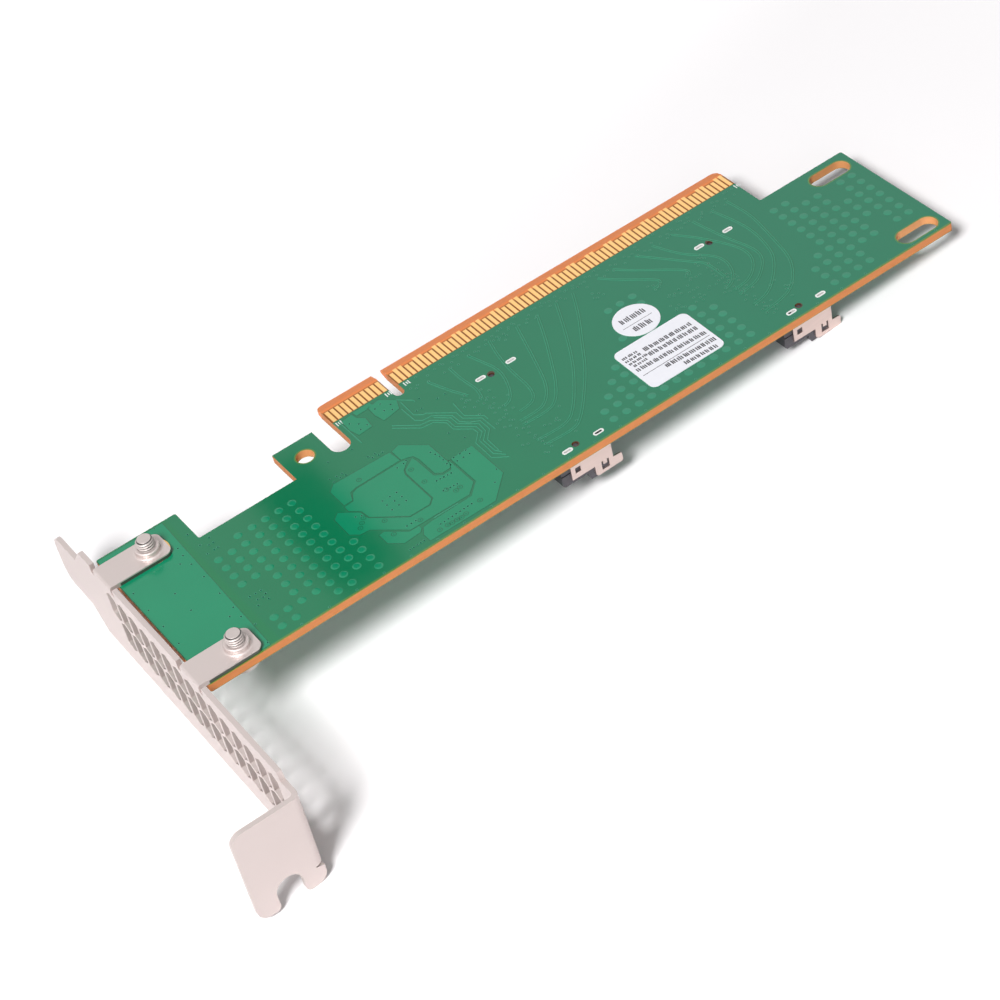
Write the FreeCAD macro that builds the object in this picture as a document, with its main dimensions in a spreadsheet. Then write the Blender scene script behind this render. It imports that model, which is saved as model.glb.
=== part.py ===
import FreeCAD, Part
import math
import operator
import os
import Sketcher

# Riser card with a low profile bracket and two right angle cable sockets.
# Millimetres. X runs from the bracket to the far end, Y out of the edge contacts, Z out of the solder face.
# The origin is on the centreline of the key slot, at the contact tip, in the middle of the board.

SIZES = (
    ("board_thick", 1.57, "laminate with its solder mask"),
    ("overcut", 1.0, "outline of a cut past the edge that it opens"),
    ("board_left", 57.15, "key slot centre to the edge beside the bracket"),
    ("board_right", 90.2, "key slot centre to the far edge"),
    ("board_margin", 2.02, "lower end plates to the lower long edge"),
    ("shoulder_drop", 12.8, "contact tip to the upper long edge"),
    ("raised_drop", 5.0, "contact tip to the two raised parts"),
    ("raised_end_width", 14.95, "width of the raised part beside the bracket"),
    ("corner_round", 0.4, "corners of the board"),
    ("tongue_left", 12.15, "key slot centre to the short end of the tongue"),
    ("tongue_right", 72.15, "key slot centre to the long end of the tongue"),
    ("tongue_corner", 1.1, "corners of the tongue"),
    ("bevel_run", 1.9, "length of the bevel on the tongue"),
    ("bevel_rise", 0.56, "depth of the bevel on each face"),
    ("key_width", 1.9, "key slot"),
    ("key_depth", 8.4, "key slot"),
    ("relief_width", 3.65, "round bottomed slot beside the tongue"),
    ("relief_depth", 12.8, "contact tip to the bottom of that slot"),
    ("lug_width", 7.75, "raised lug with the hole"),
    ("lug_hole", 3.2, "bore in the lug"),
    ("lug_hole_drop", 9.2, "contact tip to that bore"),
    ("far_slot_width", 3.6, "two slots at the far end"),
    ("far_slot_length", 8.1, "two slots at the far end"),
    ("far_slot_inset", 5.2, "far edge to the slot centres"),
    ("far_slot_drop", 16.05, "contact tip to the first slot"),
    ("far_slot_margin", 2.9, "second slot to the lower long edge"),
    ("contact_pitch", 1.0, "edge contacts"),
    ("contact_width", 0.7, "edge contacts"),
    ("contact_count_short", 11.0, "contacts left of the key slot"),
    ("contact_count_long", 71.0, "contacts right of the key slot"),
    ("contact_start", 2.1, "tip to the outer end of a ground contact"),
    ("signal_setback", 0.6, "ground contact to the outer end of a signal contact"),
    ("contact_end", 5.7, "tip to the inner end of a contact"),
    ("contact_thick", 0.05, "plated copper of a contact"),
    ("sheet_thick", 0.86, "steel sheet of the bracket"),
    ("sheet_gap", 0.75, "board edge to the bracket"),
    ("plate_top", 1.9, "long edge above the board"),
    ("plate_width", 18.42, "bracket plate"),
    ("bracket_length", 79.2, "tail tip to the outside of the screw tab"),
    ("tail_reach", 9.75, "tail tip past the contact tip"),
    ("tail_width", 10.19, "narrow tail"),
    ("tail_corner", 3.0, "corners of the tail tip"),
    ("tail_long", 8.75, "straight sides of the tail"),
    ("tail_slope", 3.5, "length of the slope between tail and plate"),
    ("step_start", 4.35, "screw tab to the step in the long edge"),
    ("step_slope", 0.4, "length of that step"),
    ("step_drop", 1.55, "height of that step"),
    ("tab_depth", 11.39, "screw tab past the plate"),
    ("tab_overhang", 2.18, "screw tab below the plate"),
    ("tab_round", 2.1, "corners of the screw tab"),
    ("tab_bend_inside", 0.5, "inside radius of the tab bend"),
    ("tab_lug_setback", 0.1, "free lug of the tab short of the inner plate face"),
    ("tab_relief", 1.6, "height of the bend relief under the plate"),
    ("relief_run", 3.1, "screw tab to the end of the bend relief"),
    ("relief_clear", 0.1, "end of the tab bend to the relief"),
    ("lug_shoulder", 0.25, "upright edge of the relief"),
    ("lug_slope", 0.3, "height of the slope below that edge"),
    ("notch_width", 4.55, "screw notch"),
    ("notch_depth", 5.45, "screw notch"),
    ("notch_centre", 5.36, "plate face to the notch centre"),
    ("notch_lip", 0.9, "rounded mouth of the notch"),
    ("ear_width", 5.8, "ears that lie on the board"),
    ("ear_reach", 10.25, "ear end from the board edge"),
    ("ear_round", 1.3, "corners of an ear"),
    ("ear_bend_inside", 0.16, "inside radius of the ear bend"),
    ("ear_bend_outside", 0.45, "outside radius of the ear bend"),
    ("ear_relief", 1.0, "width of the notch beside an ear"),
    ("ear_relief_depth", 0.5, "notch below the solder face"),
    ("screw_drop", 10.2, "contact tip to the first bracket screw"),
    ("screw_margin", 3.05, "second bracket screw to the lower long edge"),
    ("screw_inset", 7.2, "board edge to the bracket screws"),
    ("screw_hole", 3.4, "clearance holes for the bracket screws"),
    ("screw_thread", 3.0, "bracket screws"),
    ("screw_stand", 2.8, "screw end above the ear"),
    ("screw_tip", 0.3, "chamfer of the screw end"),
    ("screw_head", 5.6, "pan head"),
    ("screw_head_high", 1.9, "pan head"),
    ("screw_head_flat", 3.1, "flat end of the pan head"),
    ("screw_head_side", 0.85, "upright side of the pan head"),
    ("screw_drive", 2.6, "cross recess, tip to tip"),
    ("screw_drive_arm", 0.7, "cross recess, width of an arm"),
    ("screw_drive_deep", 1.1, "cross recess"),
    ("thread_clearance", 0.02, "screw in its collar"),
    ("collar_wide", 4.2, "drawn collar of an ear"),
    ("collar_high", 1.15, "drawn collar of an ear"),
    ("collar_foot", 0.35, "flare at the foot of a collar"),
    ("collar_lip", 0.25, "round of its rim"),
    ("vent_pitch", 3.6, "honeycomb of the plate, along its length"),
    ("vent_width", 3.0, "one cell"),
    ("vent_side", 4.4, "upright side of a cell"),
    ("vent_point", 0.85, "height of the pointed end of a cell"),
    ("vent_row", 5.7, "row to row"),
    ("vent_start", 11.8, "contact tip to the first cell"),
    ("vent_drop", 5.4, "long edge to the upper row"),
    ("vent_end", 7.2, "last cell to the screw tab"),
    ("socket_first", 11.52, "key slot centre to the first socket"),
    ("socket_spacing", 45.72, "socket to socket"),
    ("socket_upper", 14.9, "contact tip to the upper end plates"),
    ("row_to_plate", 1.54, "end contact of a row to the end plate"),
    ("pin_slot_spacing", 6.13, "two solder tabs of an end plate"),
    ("pin_slot_length", 1.52, "plated slot"),
    ("pin_slot_width", 0.48, "plated slot"),
    ("ring_rim", 0.22, "tinned ring around a plated slot"),
    ("ring_thick", 0.04, "tinned ring above the board"),
    ("ring_wall", 0.04, "tinned wall inside a plated slot"),
    ("tab_pin_width", 1.3, "solder tab"),
    ("tab_pin_short", 0.12, "solder tab below the solder face"),
    ("tab_pin_bevel", 0.3, "corners of a solder tab"),
    ("tab_root", 0.6, "gusset behind the rear solder tab"),
    ("peg_hole", 1.05, "hole for an alignment peg"),
    ("peg_along", 1.82, "first solder tab to the peg"),
    ("peg_inset", 0.53, "end plate to the peg"),
    ("peg_wide", 0.96, "alignment peg"),
    ("peg_long", 1.25, "alignment peg"),
    ("plate_sheet", 0.3, "steel of an end plate"),
    ("plate_back", 0.3, "rear edge from the first solder tab"),
    ("plate_front", 7.75, "front edge from the first solder tab"),
    ("plate_shallow", 4.65, "height of the rear half"),
    ("plate_deep", 6.85, "height of the front half"),
    ("plate_break", 4.1, "first solder tab to the step"),
    ("hook_reach", 9.45, "first solder tab to the hook"),
    ("hook_start", 4.95, "board to the upper edge of the hook"),
    ("hook_round", 0.4, "corners of the hook"),
    ("hook_taper", 0.1, "hook to the end plate"),
    ("plate_bevel", 0.45, "lower corner of the front half"),
    ("window_small", 1.05, "rear window"),
    ("window_small_along", 0.5, "rear window"),
    ("window_small_drop", 2.55, "rear window"),
    ("window_wide", 1.45, "front window"),
    ("window_along", 5.4, "front window"),
    ("window_drop", 4.45, "front window"),
    ("window_high", 1.7, "front window"),
    ("window_tongue", 0.75, "spring tongue in the front window"),
    ("window_tongue_long", 0.75, "spring tongue in the front window"),
    ("housing_back", 2.05, "rear face from the first solder tab"),
    ("housing_front", 7.4, "mating face from the first solder tab"),
    ("housing_shallow", 5.45, "height of the rear half"),
    ("housing_deep", 7.0, "height of the front half"),
    ("housing_break", 2.9, "first solder tab to the step"),
    ("housing_bevel", 0.4, "lower corners of the housing"),
    ("housing_wall", 0.5, "wall around the contact tails"),
    ("housing_end_wall", 1.2, "wall at each end"),
    ("housing_foot", 1.6, "slope above the rear wall"),
    ("gate_high", 1.8, "opening above the rear wall"),
    ("groove_deep", 0.15, "groove in each end of the housing"),
    ("groove_high", 0.25, "groove in each end of the housing"),
    ("groove_drop", 3.0, "board to that groove"),
    ("tail_room_front", 0.9, "first solder tab to the end of the tail pocket"),
    ("mouth_high", 2.2, "mating slot"),
    ("mouth_drop", 2.3, "board to the mating slot"),
    ("mouth_deep", 5.5, "mating slot"),
    ("pin_count", 37.0, "contacts in a row"),
    ("pin_pitch", 0.6, "contacts in a row"),
    ("pin_wide", 0.26, "one contact"),
    ("pin_thick", 0.16, "one contact"),
    ("pin_recess", 0.7, "contact end behind the mating face"),
    ("pin_foot", 0.9, "solder foot of a contact"),
    ("pin_wall", 0.12, "contact to the wall of the mating slot"),
    ("slit_start", 0.2, "slits past the bottom of the mating slot"),
    ("riser_wall", 0.25, "near risers to the end of the tail pocket"),
    ("riser_spacing", 1.15, "near risers to far risers"),
    ("pin_clearance", 0.01, "contact in its slit"),
    ("buffer_wide", 5.0, "clock buffer"),
    ("buffer_high", 0.85, "clock buffer"),
    ("buffer_along", 40.4, "clock buffer"),
    ("buffer_drop", 22.0, "clock buffer"),
    ("buffer_pads", 8.0, "pads on a side of the clock buffer"),
    ("buffer_pad_pitch", 0.5, "clock buffer"),
    ("buffer_pad_wide", 0.24, "one pad of the clock buffer"),
    ("buffer_pad_high", 0.25, "one pad of the clock buffer"),
    ("buffer_pad_out", 0.05, "one pad past the moulding"),
    ("regulator_long", 6.5, "voltage regulator"),
    ("regulator_wide", 3.5, "voltage regulator"),
    ("regulator_high", 1.6, "voltage regulator"),
    ("regulator_along", -36.0, "voltage regulator"),
    ("regulator_drop", 24.0, "voltage regulator"),
    ("regulator_leg_pitch", 2.3, "voltage regulator"),
    ("regulator_leg_wide", 1.2, "voltage regulator"),
    ("memory_long", 4.9, "memory chip"),
    ("memory_wide", 3.9, "memory chip"),
    ("memory_high", 1.5, "memory chip"),
    ("memory_along", 30.0, "memory chip"),
    ("memory_drop", 34.0, "memory chip"),
    ("leg_thick", 0.2, "legs of a chip"),
    ("leg_wide", 0.41, "legs of a chip"),
    ("leg_reach", 1.05, "legs of a chip past its body"),
    ("leg_knee", 0.42, "body to the bend of a leg"),
    ("leg_root", 0.1, "leg inside the body"),
    ("leg_pitch", 1.27, "legs of the memory chip"),
    ("chip_stand", 0.1, "body of a chip above the board"),
    ("chip_bevel", 0.15, "edges of a chip"),
    ("inductor_wide", 5.2, "power inductor"),
    ("inductor_high", 2.8, "power inductor"),
    ("inductor_along", -26.5, "power inductor"),
    ("inductor_corner", 0.8, "upright corners of the inductor"),
    ("bulk_long", 3.2, "large ceramic capacitors"),
    ("bulk_wide", 1.6, "large ceramic capacitors"),
    ("bulk_high", 1.3, "large ceramic capacitors"),
    ("small_long", 1.0, "small ceramic capacitors and resistors"),
    ("small_wide", 0.5, "small ceramic capacitors and resistors"),
    ("small_high", 0.5, "small ceramic capacitors"),
    ("resistor_high", 0.35, "resistors"),
    ("part_gap", 1.35, "chip to its nearest small part"),
    ("bulk_pitch", 2.2, "large ceramic capacitors"),
    ("small_pitch", 1.2, "small parts beside a chip"),
    ("coupling_drop", 8.4, "contact tip to the coupling capacitors"),
    ("coupling_pitch", 4.0, "coupling capacitors, pair to pair"),
    ("coupling_start", 3.0, "key slot to the first pair"),
    ("coupling_pairs", 16.0, "pairs of coupling capacitors"),
    ("coupling_gap", 1.0, "the two capacitors of a pair"),
    ("label_thick", 0.1, "stickers"),
    ("round_label_wide", 8.1, "round sticker"),
    ("round_label_along", 38.3, "round sticker"),
    ("round_label_drop", 22.2, "round sticker"),
    ("long_label_wide", 15.0, "rectangular sticker"),
    ("long_label_high", 11.5, "rectangular sticker"),
    ("long_label_along", 37.5, "rectangular sticker"),
    ("long_label_drop", 32.2, "rectangular sticker"),
    ("long_label_round", 1.2, "rectangular sticker"),
)

doc = FreeCAD.newDocument("RiserCard")
sheet = doc.addObject("Spreadsheet::Sheet", "Sizes")


SUMS = {"+": operator.add, "-": operator.sub, "*": operator.mul, "/": operator.truediv}


class Size:
    """A length that carries its number and the sheet formula it comes from."""

    def __init__(self, number, formula):
        self.number = number
        self.formula = formula

    def joined(self, other, sign, swap=False):
        other = other if isinstance(other, Size) else Size(float(other), repr(float(other)))
        first, second = (other, self) if swap else (self, other)
        number = SUMS[sign](first.number, second.number)
        return Size(number, "(%s %s %s)" % (first.formula, sign, second.formula))

    def __add__(self, other):
        return self.joined(other, "+")

    def __radd__(self, other):
        return self.joined(other, "+", swap=True)

    def __sub__(self, other):
        return self.joined(other, "-")

    def __rsub__(self, other):
        return self.joined(other, "-", swap=True)

    def __mul__(self, other):
        return self.joined(other, "*")

    __rmul__ = __mul__

    def __truediv__(self, other):
        return self.joined(other, "/")

    def __neg__(self):
        return Size(-self.number, "(-1 * %s)" % self.formula)

    def whole(self):
        """The next whole number below, for a count."""
        return Size(math.floor(self.number), "floor(%s)" % self.formula)


class Card:
    """The driving sizes, one attribute for each named cell of the sheet."""


card = Card()
for row, (alias, number, note) in enumerate(SIZES, start=1):
    sheet.set("A%d" % row, alias)
    sheet.set("B%d" % row, str(number))
    sheet.set("C%d" % row, note)
    sheet.setAlias("B%d" % row, alias)
doc.recompute()
for alias, number, note in SIZES:
    setattr(card, alias, Size(float(sheet.get(alias)), "Sizes." + alias))
ZERO = Size(0.0, "0")

# Places that several pieces share.
solder_face = card.board_thick / 2
component_face = -card.board_thick / 2
board_edge = -card.board_left
plate_inside = board_edge - card.sheet_gap
plate_outside = plate_inside - card.sheet_thick
ear_top = solder_face + card.sheet_thick
tab_face = card.bracket_length - card.tail_reach
screw_along = board_edge + card.screw_inset
socket_places = (card.socket_first, card.socket_first + card.socket_spacing)
row_length = card.pin_pitch * (card.pin_count - 1.0)
socket_length = row_length + card.row_to_plate * 2.0
end_plate_drops = (card.socket_upper, card.socket_upper + socket_length)
board_drop = end_plate_drops[1] + card.board_margin
screw_drops = (card.screw_drop, board_drop - card.screw_margin)
far_slot_drops = (card.far_slot_drop, board_drop - card.far_slot_margin)


def bind(thing, **formulas):
    """Tie properties of an object to formulas of the sheet."""
    for name, length in formulas.items():
        thing.setExpression(name, length.formula)


def new_body(label):
    body = doc.addObject("PartDesign::Body", label)
    body.Label = label
    return body


def new_sketch(body, name, plane, lift=ZERO):
    """A sketch on one of the body's origin planes, lifted along the plane's normal.

    XY looks along -Z with X to the right, XZ has X and Z and faces -Y, YZ has Y and Z and faces +X.
    """
    sketch = body.newObject("Sketcher::SketchObject", name)
    origin_plane = [item for item in body.Origin.OriginFeatures if item.Role == plane + "_Plane"][0]
    sketch.AttachmentSupport = [(origin_plane, "")]
    sketch.MapMode = "FlatFace"
    sketch.setExpression("AttachmentOffset.Base.z", lift.formula)
    return sketch


def hold_point(sketch, geometry, point, place):
    """Dimension a point of the sketch from its two axes."""
    for kind, length in zip(("DistanceX", "DistanceY"), place):
        index = sketch.addConstraint(Sketcher.Constraint(kind, geometry, point, length.number))
        sketch.setExpression("Constraints[%d]" % index, length.formula)


def draw_outline(sketch, corners):
    """A closed outline of straight lines, each corner dimensioned."""
    points = [FreeCAD.Vector(x.number, y.number, 0) for x, y in corners]
    first = sketch.GeometryCount
    for start, end in zip(points, points[1:] + points[:1]):
        sketch.addGeometry(Part.LineSegment(start, end), False)
    count = len(points)
    for index in range(count):
        following = first + (index + 1) % count
        sketch.addConstraint(Sketcher.Constraint("Coincident", first + index, 2, following, 1))
    for index, place in enumerate(corners):
        hold_point(sketch, first + index, 1, place)


def draw_circle(sketch, place, radius):
    centre = FreeCAD.Vector(place[0].number, place[1].number, 0)
    circle = sketch.addGeometry(Part.Circle(centre, FreeCAD.Vector(0, 0, 1), radius.number), False)
    hold_point(sketch, circle, 3, place)
    index = sketch.addConstraint(Sketcher.Constraint("Radius", circle, radius.number))
    sketch.setExpression("Constraints[%d]" % index, radius.formula)


def draw_slot(sketch, place, length, width):
    """A slot along the sketch's first axis: two half circles joined by tangent lines."""
    half = (length - width) / 2
    radius = width / 2
    ends = (place[0] + half, place[0] - half)
    middle = place[1].number
    normal = FreeCAD.Vector(0, 0, 1)
    arcs = []
    for end, start_angle in zip(ends, (-math.pi / 2, math.pi / 2)):
        circle = Part.Circle(FreeCAD.Vector(end.number, middle, 0), normal, radius.number)
        arc = sketch.addGeometry(Part.ArcOfCircle(circle, start_angle, start_angle + math.pi), False)
        hold_point(sketch, arc, 3, (end, place[1]))
        arcs.append(arc)
    right, left = arcs
    up = middle + radius.number
    down = middle - radius.number
    top = sketch.addGeometry(Part.LineSegment(
        FreeCAD.Vector(ends[0].number, up, 0), FreeCAD.Vector(ends[1].number, up, 0)), False)
    base = sketch.addGeometry(Part.LineSegment(
        FreeCAD.Vector(ends[1].number, down, 0), FreeCAD.Vector(ends[0].number, down, 0)), False)
    for first, end, second, start in ((right, 2, top, 1), (top, 2, left, 1), (left, 2, base, 1), (base, 2, right, 1)):
        sketch.addConstraint(Sketcher.Constraint("Tangent", first, end, second, start))
    index = sketch.addConstraint(Sketcher.Constraint("Radius", right, radius.number))
    sketch.setExpression("Constraints[%d]" % index, radius.formula)
    sketch.addConstraint(Sketcher.Constraint("Equal", right, left))


def add_pad(body, name, sketch, length, reverse=False):
    pad = body.newObject("PartDesign::Pad", name)
    pad.Profile = sketch
    pad.Reversed = reverse
    bind(pad, Length=length)
    sketch.Visibility = False
    doc.recompute()
    return pad


def add_pocket(body, name, sketch, length=None, reverse=False):
    """A pocket of a given depth, or through everything on both sides, which must remove something."""
    before = body.Tip.Shape.Volume
    pocket = body.newObject("PartDesign::Pocket", name)
    pocket.Profile = sketch
    if length is None:
        pocket.Type = "ThroughAll"
        pocket.Midplane = True
    else:
        pocket.Reversed = reverse
        bind(pocket, Length=length)
    sketch.Visibility = False
    doc.recompute()
    if not pocket.Shape.Volume < before - 1e-6:
        raise RuntimeError(name + " cuts nothing")
    return pocket


def edges_through(shape, places, axes):
    """Names of the straight edges that run along the one axis left out of axes and pass the places."""
    names = []
    for number, edge in enumerate(shape.Edges, start=1):
        if not isinstance(edge.Curve, (Part.Line, Part.LineSegment)):
            continue
        ends = [(getattr(vertex.Point, axes[0]), getattr(vertex.Point, axes[1])) for vertex in edge.Vertexes]
        for place in places:
            if all(abs(end[0] - place[0]) < 1e-4 and abs(end[1] - place[1]) < 1e-4 for end in ends):
                names.append("Edge%d" % number)
    return names


def add_rounds(body, name, places, axes, radius, kind="PartDesign::Fillet"):
    """Round the straight edges that pass the given places, seen along one axis."""
    base = body.Tip
    numbers = [(first.number, second.number) for first, second in places]
    edges = edges_through(base.Shape, numbers, axes)
    if len(edges) < len(places):
        raise RuntimeError(name + " finds %d edges" % len(edges))
    rounds = body.newObject(kind, name)
    rounds.Base = (base, edges)
    if kind == "PartDesign::Fillet":
        bind(rounds, Radius=radius)
    else:
        bind(rounds, Size=radius)
    doc.recompute()
    if rounds.Shape.isNull() or not rounds.Shape.isValid():
        raise RuntimeError(name + " does not build")
    return rounds


def make_group(label, solids):
    """Separate like solids that share a node."""
    group = doc.addObject("Part::Feature", label)
    group.Label = label
    group.Shape = Part.makeCompound(solids)
    return group


def box_between(low, high):
    """A block between two corners given as Size triples or numbers."""
    low, high = [[value.number if isinstance(value, Size) else float(value) for value in corner]
                 for corner in (low, high)]
    spans = [end - start for start, end in zip(low, high)]
    return Part.makeBox(spans[0], spans[1], spans[2], FreeCAD.Vector(*low))


# Circuit board.
def make_board():
    body = new_body("circuit_board")
    upper = -card.shoulder_drop
    raised = -card.raised_drop
    lower = -board_drop
    lug_right = -(card.tongue_left + card.relief_width)
    lug_left = lug_right - card.lug_width
    raised_end = board_edge + card.raised_end_width
    relief_round = -(card.relief_depth - card.relief_width / 2)
    outline = new_sketch(body, "board_outline", "XY", component_face)
    draw_outline(outline, (
        (board_edge, lower), (card.board_right, lower), (card.board_right, upper),
        (card.tongue_right, upper), (card.tongue_right, ZERO), (-card.tongue_left, ZERO),
        (-card.tongue_left, relief_round), (lug_right, relief_round), (lug_right, raised),
        (lug_left, raised), (lug_left, upper), (raised_end, upper), (raised_end, raised),
        (board_edge, raised)))
    add_pad(body, "board_blank", outline, card.board_thick)
    add_rounds(body, "board_corners", (
        (board_edge, lower), (card.board_right, lower), (card.board_right, upper), (raised_end, raised),
        (board_edge, raised), (raised_end, upper), (card.tongue_right, upper)), "xy", card.corner_round)
    add_rounds(body, "tongue_corners", ((card.tongue_right, ZERO), (-card.tongue_left, ZERO)), "xy",
               card.tongue_corner)
    slots = new_sketch(body, "tongue_slots", "XY")
    half_key = card.key_width / 2
    key_round = -(card.key_depth - half_key)
    draw_outline(slots, ((-half_key, key_round), (half_key, key_round), (half_key, card.overcut),
                         (-half_key, card.overcut)))
    add_pocket(body, "key_slot", slots)
    rounds = new_sketch(body, "slot_bottoms", "XY")
    draw_circle(rounds, (ZERO, key_round), half_key)
    draw_circle(rounds, (-(card.tongue_left + card.relief_width / 2), relief_round), card.relief_width / 2)
    add_pocket(body, "round_bottoms", rounds)
    for sign, face in ((1, solder_face), (-1, component_face)):
        wedge = new_sketch(body, "bevel_%s" % ("upper" if sign > 0 else "lower"), "YZ")
        foot = face - sign * card.bevel_rise
        draw_outline(wedge, ((ZERO, foot), (-card.bevel_run, face), (ZERO, face)))
        add_pocket(body, wedge.Name + "_cut", wedge)
    holes = new_sketch(body, "board_holes", "XY")
    draw_circle(holes, (lug_right - card.lug_width / 2, -card.lug_hole_drop), card.lug_hole / 2)
    for drop in screw_drops:
        draw_circle(holes, (screw_along, -drop), card.screw_hole / 2)
    for drop in far_slot_drops:
        draw_slot(holes, (card.board_right - card.far_slot_inset, -drop), card.far_slot_length,
                  card.far_slot_width)
    add_pocket(body, "board_holes_cut", holes)
    pins = new_sketch(body, "socket_holes", "XY")
    for place in socket_places:
        for drop, inward in zip(end_plate_drops, (1, -1)):
            for step in (ZERO, card.pin_slot_spacing):
                draw_slot(pins, (place + step, -drop), card.pin_slot_length, card.pin_slot_width)
            peg_drop = drop + inward * card.peg_inset
            draw_circle(pins, (place + card.peg_along, -peg_drop), card.peg_hole / 2)
    add_pocket(body, "socket_holes_cut", pins)
    return body


# Plated edge contacts: pins 1 to 11 left of the key slot, 12 to 82 right of it, on both faces. Right of the
# slot two long ground contacts take turns with two shorter signal contacts; left of it all are short.
def contact_places():
    """X of each contact and its outer end: the two runs stand three pitches apart about the key slot."""
    pitch = card.contact_pitch.number
    signal_end = -(card.contact_start + card.signal_setback)
    places = [(-pitch * (1.5 + step), signal_end) for step in range(int(card.contact_count_short.number))]
    for step in range(int(card.contact_count_long.number)):
        outer_end = signal_end if step % 4 in (0, 3) else -card.contact_start
        places.append((pitch * (1.5 + step), outer_end))
    return places


def make_edge_contacts(label, face, outward):
    half = card.contact_width.number / 2
    top = face + outward * card.contact_thick
    low, high = sorted((face.number, top.number))
    solids = [box_between((along - half, -card.contact_end, low), (along + half, outer_end, high))
              for along, outer_end in contact_places()]
    return make_group(label, solids)


# Bracket: one folded steel sheet with a tail, a honeycomb plate, a screw tab and two ears.
def make_bracket():
    body = new_body("bracket")
    top = card.plate_top
    low = top - card.plate_width
    tab_top = top - card.step_drop
    tail_top = low + (card.plate_width + card.tail_width) / 2
    tail_low = tail_top - card.tail_width
    tip = card.tail_reach
    shoulder = tip - card.tail_long - card.tail_slope
    step = card.step_start - tab_face
    blank = new_sketch(body, "plate_outline", "YZ", plate_outside)
    draw_outline(blank, (
        (-tab_face, tab_top), (step, tab_top), (step + card.step_slope, top), (shoulder, top),
        (shoulder + card.tail_slope, tail_top), (tip, tail_top), (tip, tail_low),
        (shoulder + card.tail_slope, tail_low), (shoulder, low), (-tab_face, low)))
    add_pad(body, "plate_blank", blank, card.sheet_thick)
    add_rounds(body, "tail_corners", ((tip, tail_top), (tip, tail_low)), "yz", card.tail_corner)

    lug_face = plate_inside - card.tab_lug_setback
    tab_low = low - card.tab_overhang
    tab_left = plate_outside - card.tab_depth
    relief_top = low + card.tab_relief
    dent = plate_outside - card.tab_bend_inside - card.relief_clear
    lug_top = relief_top - card.lug_shoulder
    relief = new_sketch(body, "tab_relief_outline", "YZ", plate_outside)
    relief_end = card.relief_run - tab_face
    draw_outline(relief, (
        (-tab_face - card.overcut, low - card.overcut), (-tab_face - card.overcut, relief_top),
        (relief_end, relief_top), (relief_end, low - card.overcut)))
    add_pocket(body, "tab_relief_cut", relief, card.sheet_thick, reverse=True)
    tab = new_sketch(body, "tab_outline", "XZ", tab_face)
    draw_outline(tab, (
        (plate_inside, tab_top), (plate_inside, relief_top), (dent, relief_top), (dent, lug_top),
        (lug_face, lug_top - card.lug_slope), (lug_face, tab_low), (tab_left, tab_low), (tab_left, tab_top)))
    add_pad(body, "tab_blank", tab, card.sheet_thick, reverse=True)
    tab_inside = card.sheet_thick - tab_face
    add_rounds(body, "tab_bend_inner", ((plate_outside, tab_inside),), "xy", card.tab_bend_inside)
    add_rounds(body, "tab_bend_outer", ((plate_inside, -tab_face),), "xy",
               card.tab_bend_inside + card.sheet_thick)

    notch_x = plate_outside - card.notch_centre
    half_notch = card.notch_width / 2
    notch_round = tab_low + card.notch_depth - half_notch
    mouth = new_sketch(body, "notch_outline", "XZ", tab_face)
    draw_outline(mouth, (
        (notch_x - half_notch, tab_low - card.overcut), (notch_x + half_notch, tab_low - card.overcut),
        (notch_x + half_notch, notch_round), (notch_x - half_notch, notch_round)))
    add_pocket(body, "notch_mouth", mouth, card.sheet_thick)
    bore = new_sketch(body, "notch_bore", "XZ", tab_face)
    draw_circle(bore, (notch_x, notch_round), half_notch)
    add_pocket(body, "notch_bottom", bore, card.sheet_thick)
    add_rounds(body, "notch_lips", ((notch_x - half_notch, tab_low), (notch_x + half_notch, tab_low)), "xz",
               card.notch_lip)
    add_rounds(body, "tab_corners", ((tab_left, tab_top), (tab_left, tab_low), (lug_face, tab_low)), "xz",
               card.tab_round)

    ear_end = board_edge + card.ear_reach
    for name, drop in zip(("upper", "lower"), screw_drops):
        near = -drop + card.ear_width / 2
        far = -drop - card.ear_width / 2
        notches = new_sketch(body, name + "_ear_relief", "YZ", plate_outside)
        notch_floor = solder_face - card.ear_relief_depth
        sky = top + card.overcut
        for start, end in ((near, near + card.ear_relief), (far - card.ear_relief, far)):
            draw_outline(notches, ((start, notch_floor), (end, notch_floor), (end, sky), (start, sky)))
        add_pocket(body, name + "_ear_notches", notches, card.sheet_thick, reverse=True)
        crown = new_sketch(body, name + "_ear_crown", "YZ", plate_outside)
        draw_outline(crown, ((far, ear_top), (near, ear_top), (near, sky), (far, sky)))
        add_pocket(body, name + "_ear_crown_cut", crown, card.sheet_thick, reverse=True)
        ear = new_sketch(body, name + "_ear_outline", "XY", solder_face)
        draw_outline(ear, ((plate_outside, far), (ear_end, far), (ear_end, near), (plate_outside, near)))
        add_pad(body, name + "_ear", ear, card.sheet_thick)
        add_rounds(body, name + "_ear_corners", ((ear_end, far), (ear_end, near)), "xy", card.ear_round)
        collar = new_sketch(body, name + "_collar_outline", "XY", ear_top)
        draw_circle(collar, (screw_along, -drop), card.collar_wide / 2)
        add_pad(body, name + "_collar", collar, card.collar_high)
        round_collar(body, name, ear_top, drop)
    add_rounds(body, "ear_bend_inner", ((plate_inside, solder_face),), "xz", card.ear_bend_inside)
    add_rounds(body, "ear_bend_outer", ((plate_outside, ear_top),), "xz", card.ear_bend_outside)
    bores = new_sketch(body, "collar_bores", "XY", ear_top)
    for drop in screw_drops:
        draw_circle(bores, (screw_along, -drop), card.screw_thread / 2 + card.thread_clearance)
    add_pocket(body, "collar_bores_cut", bores)
    add_vents(body, top)
    return body


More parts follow.
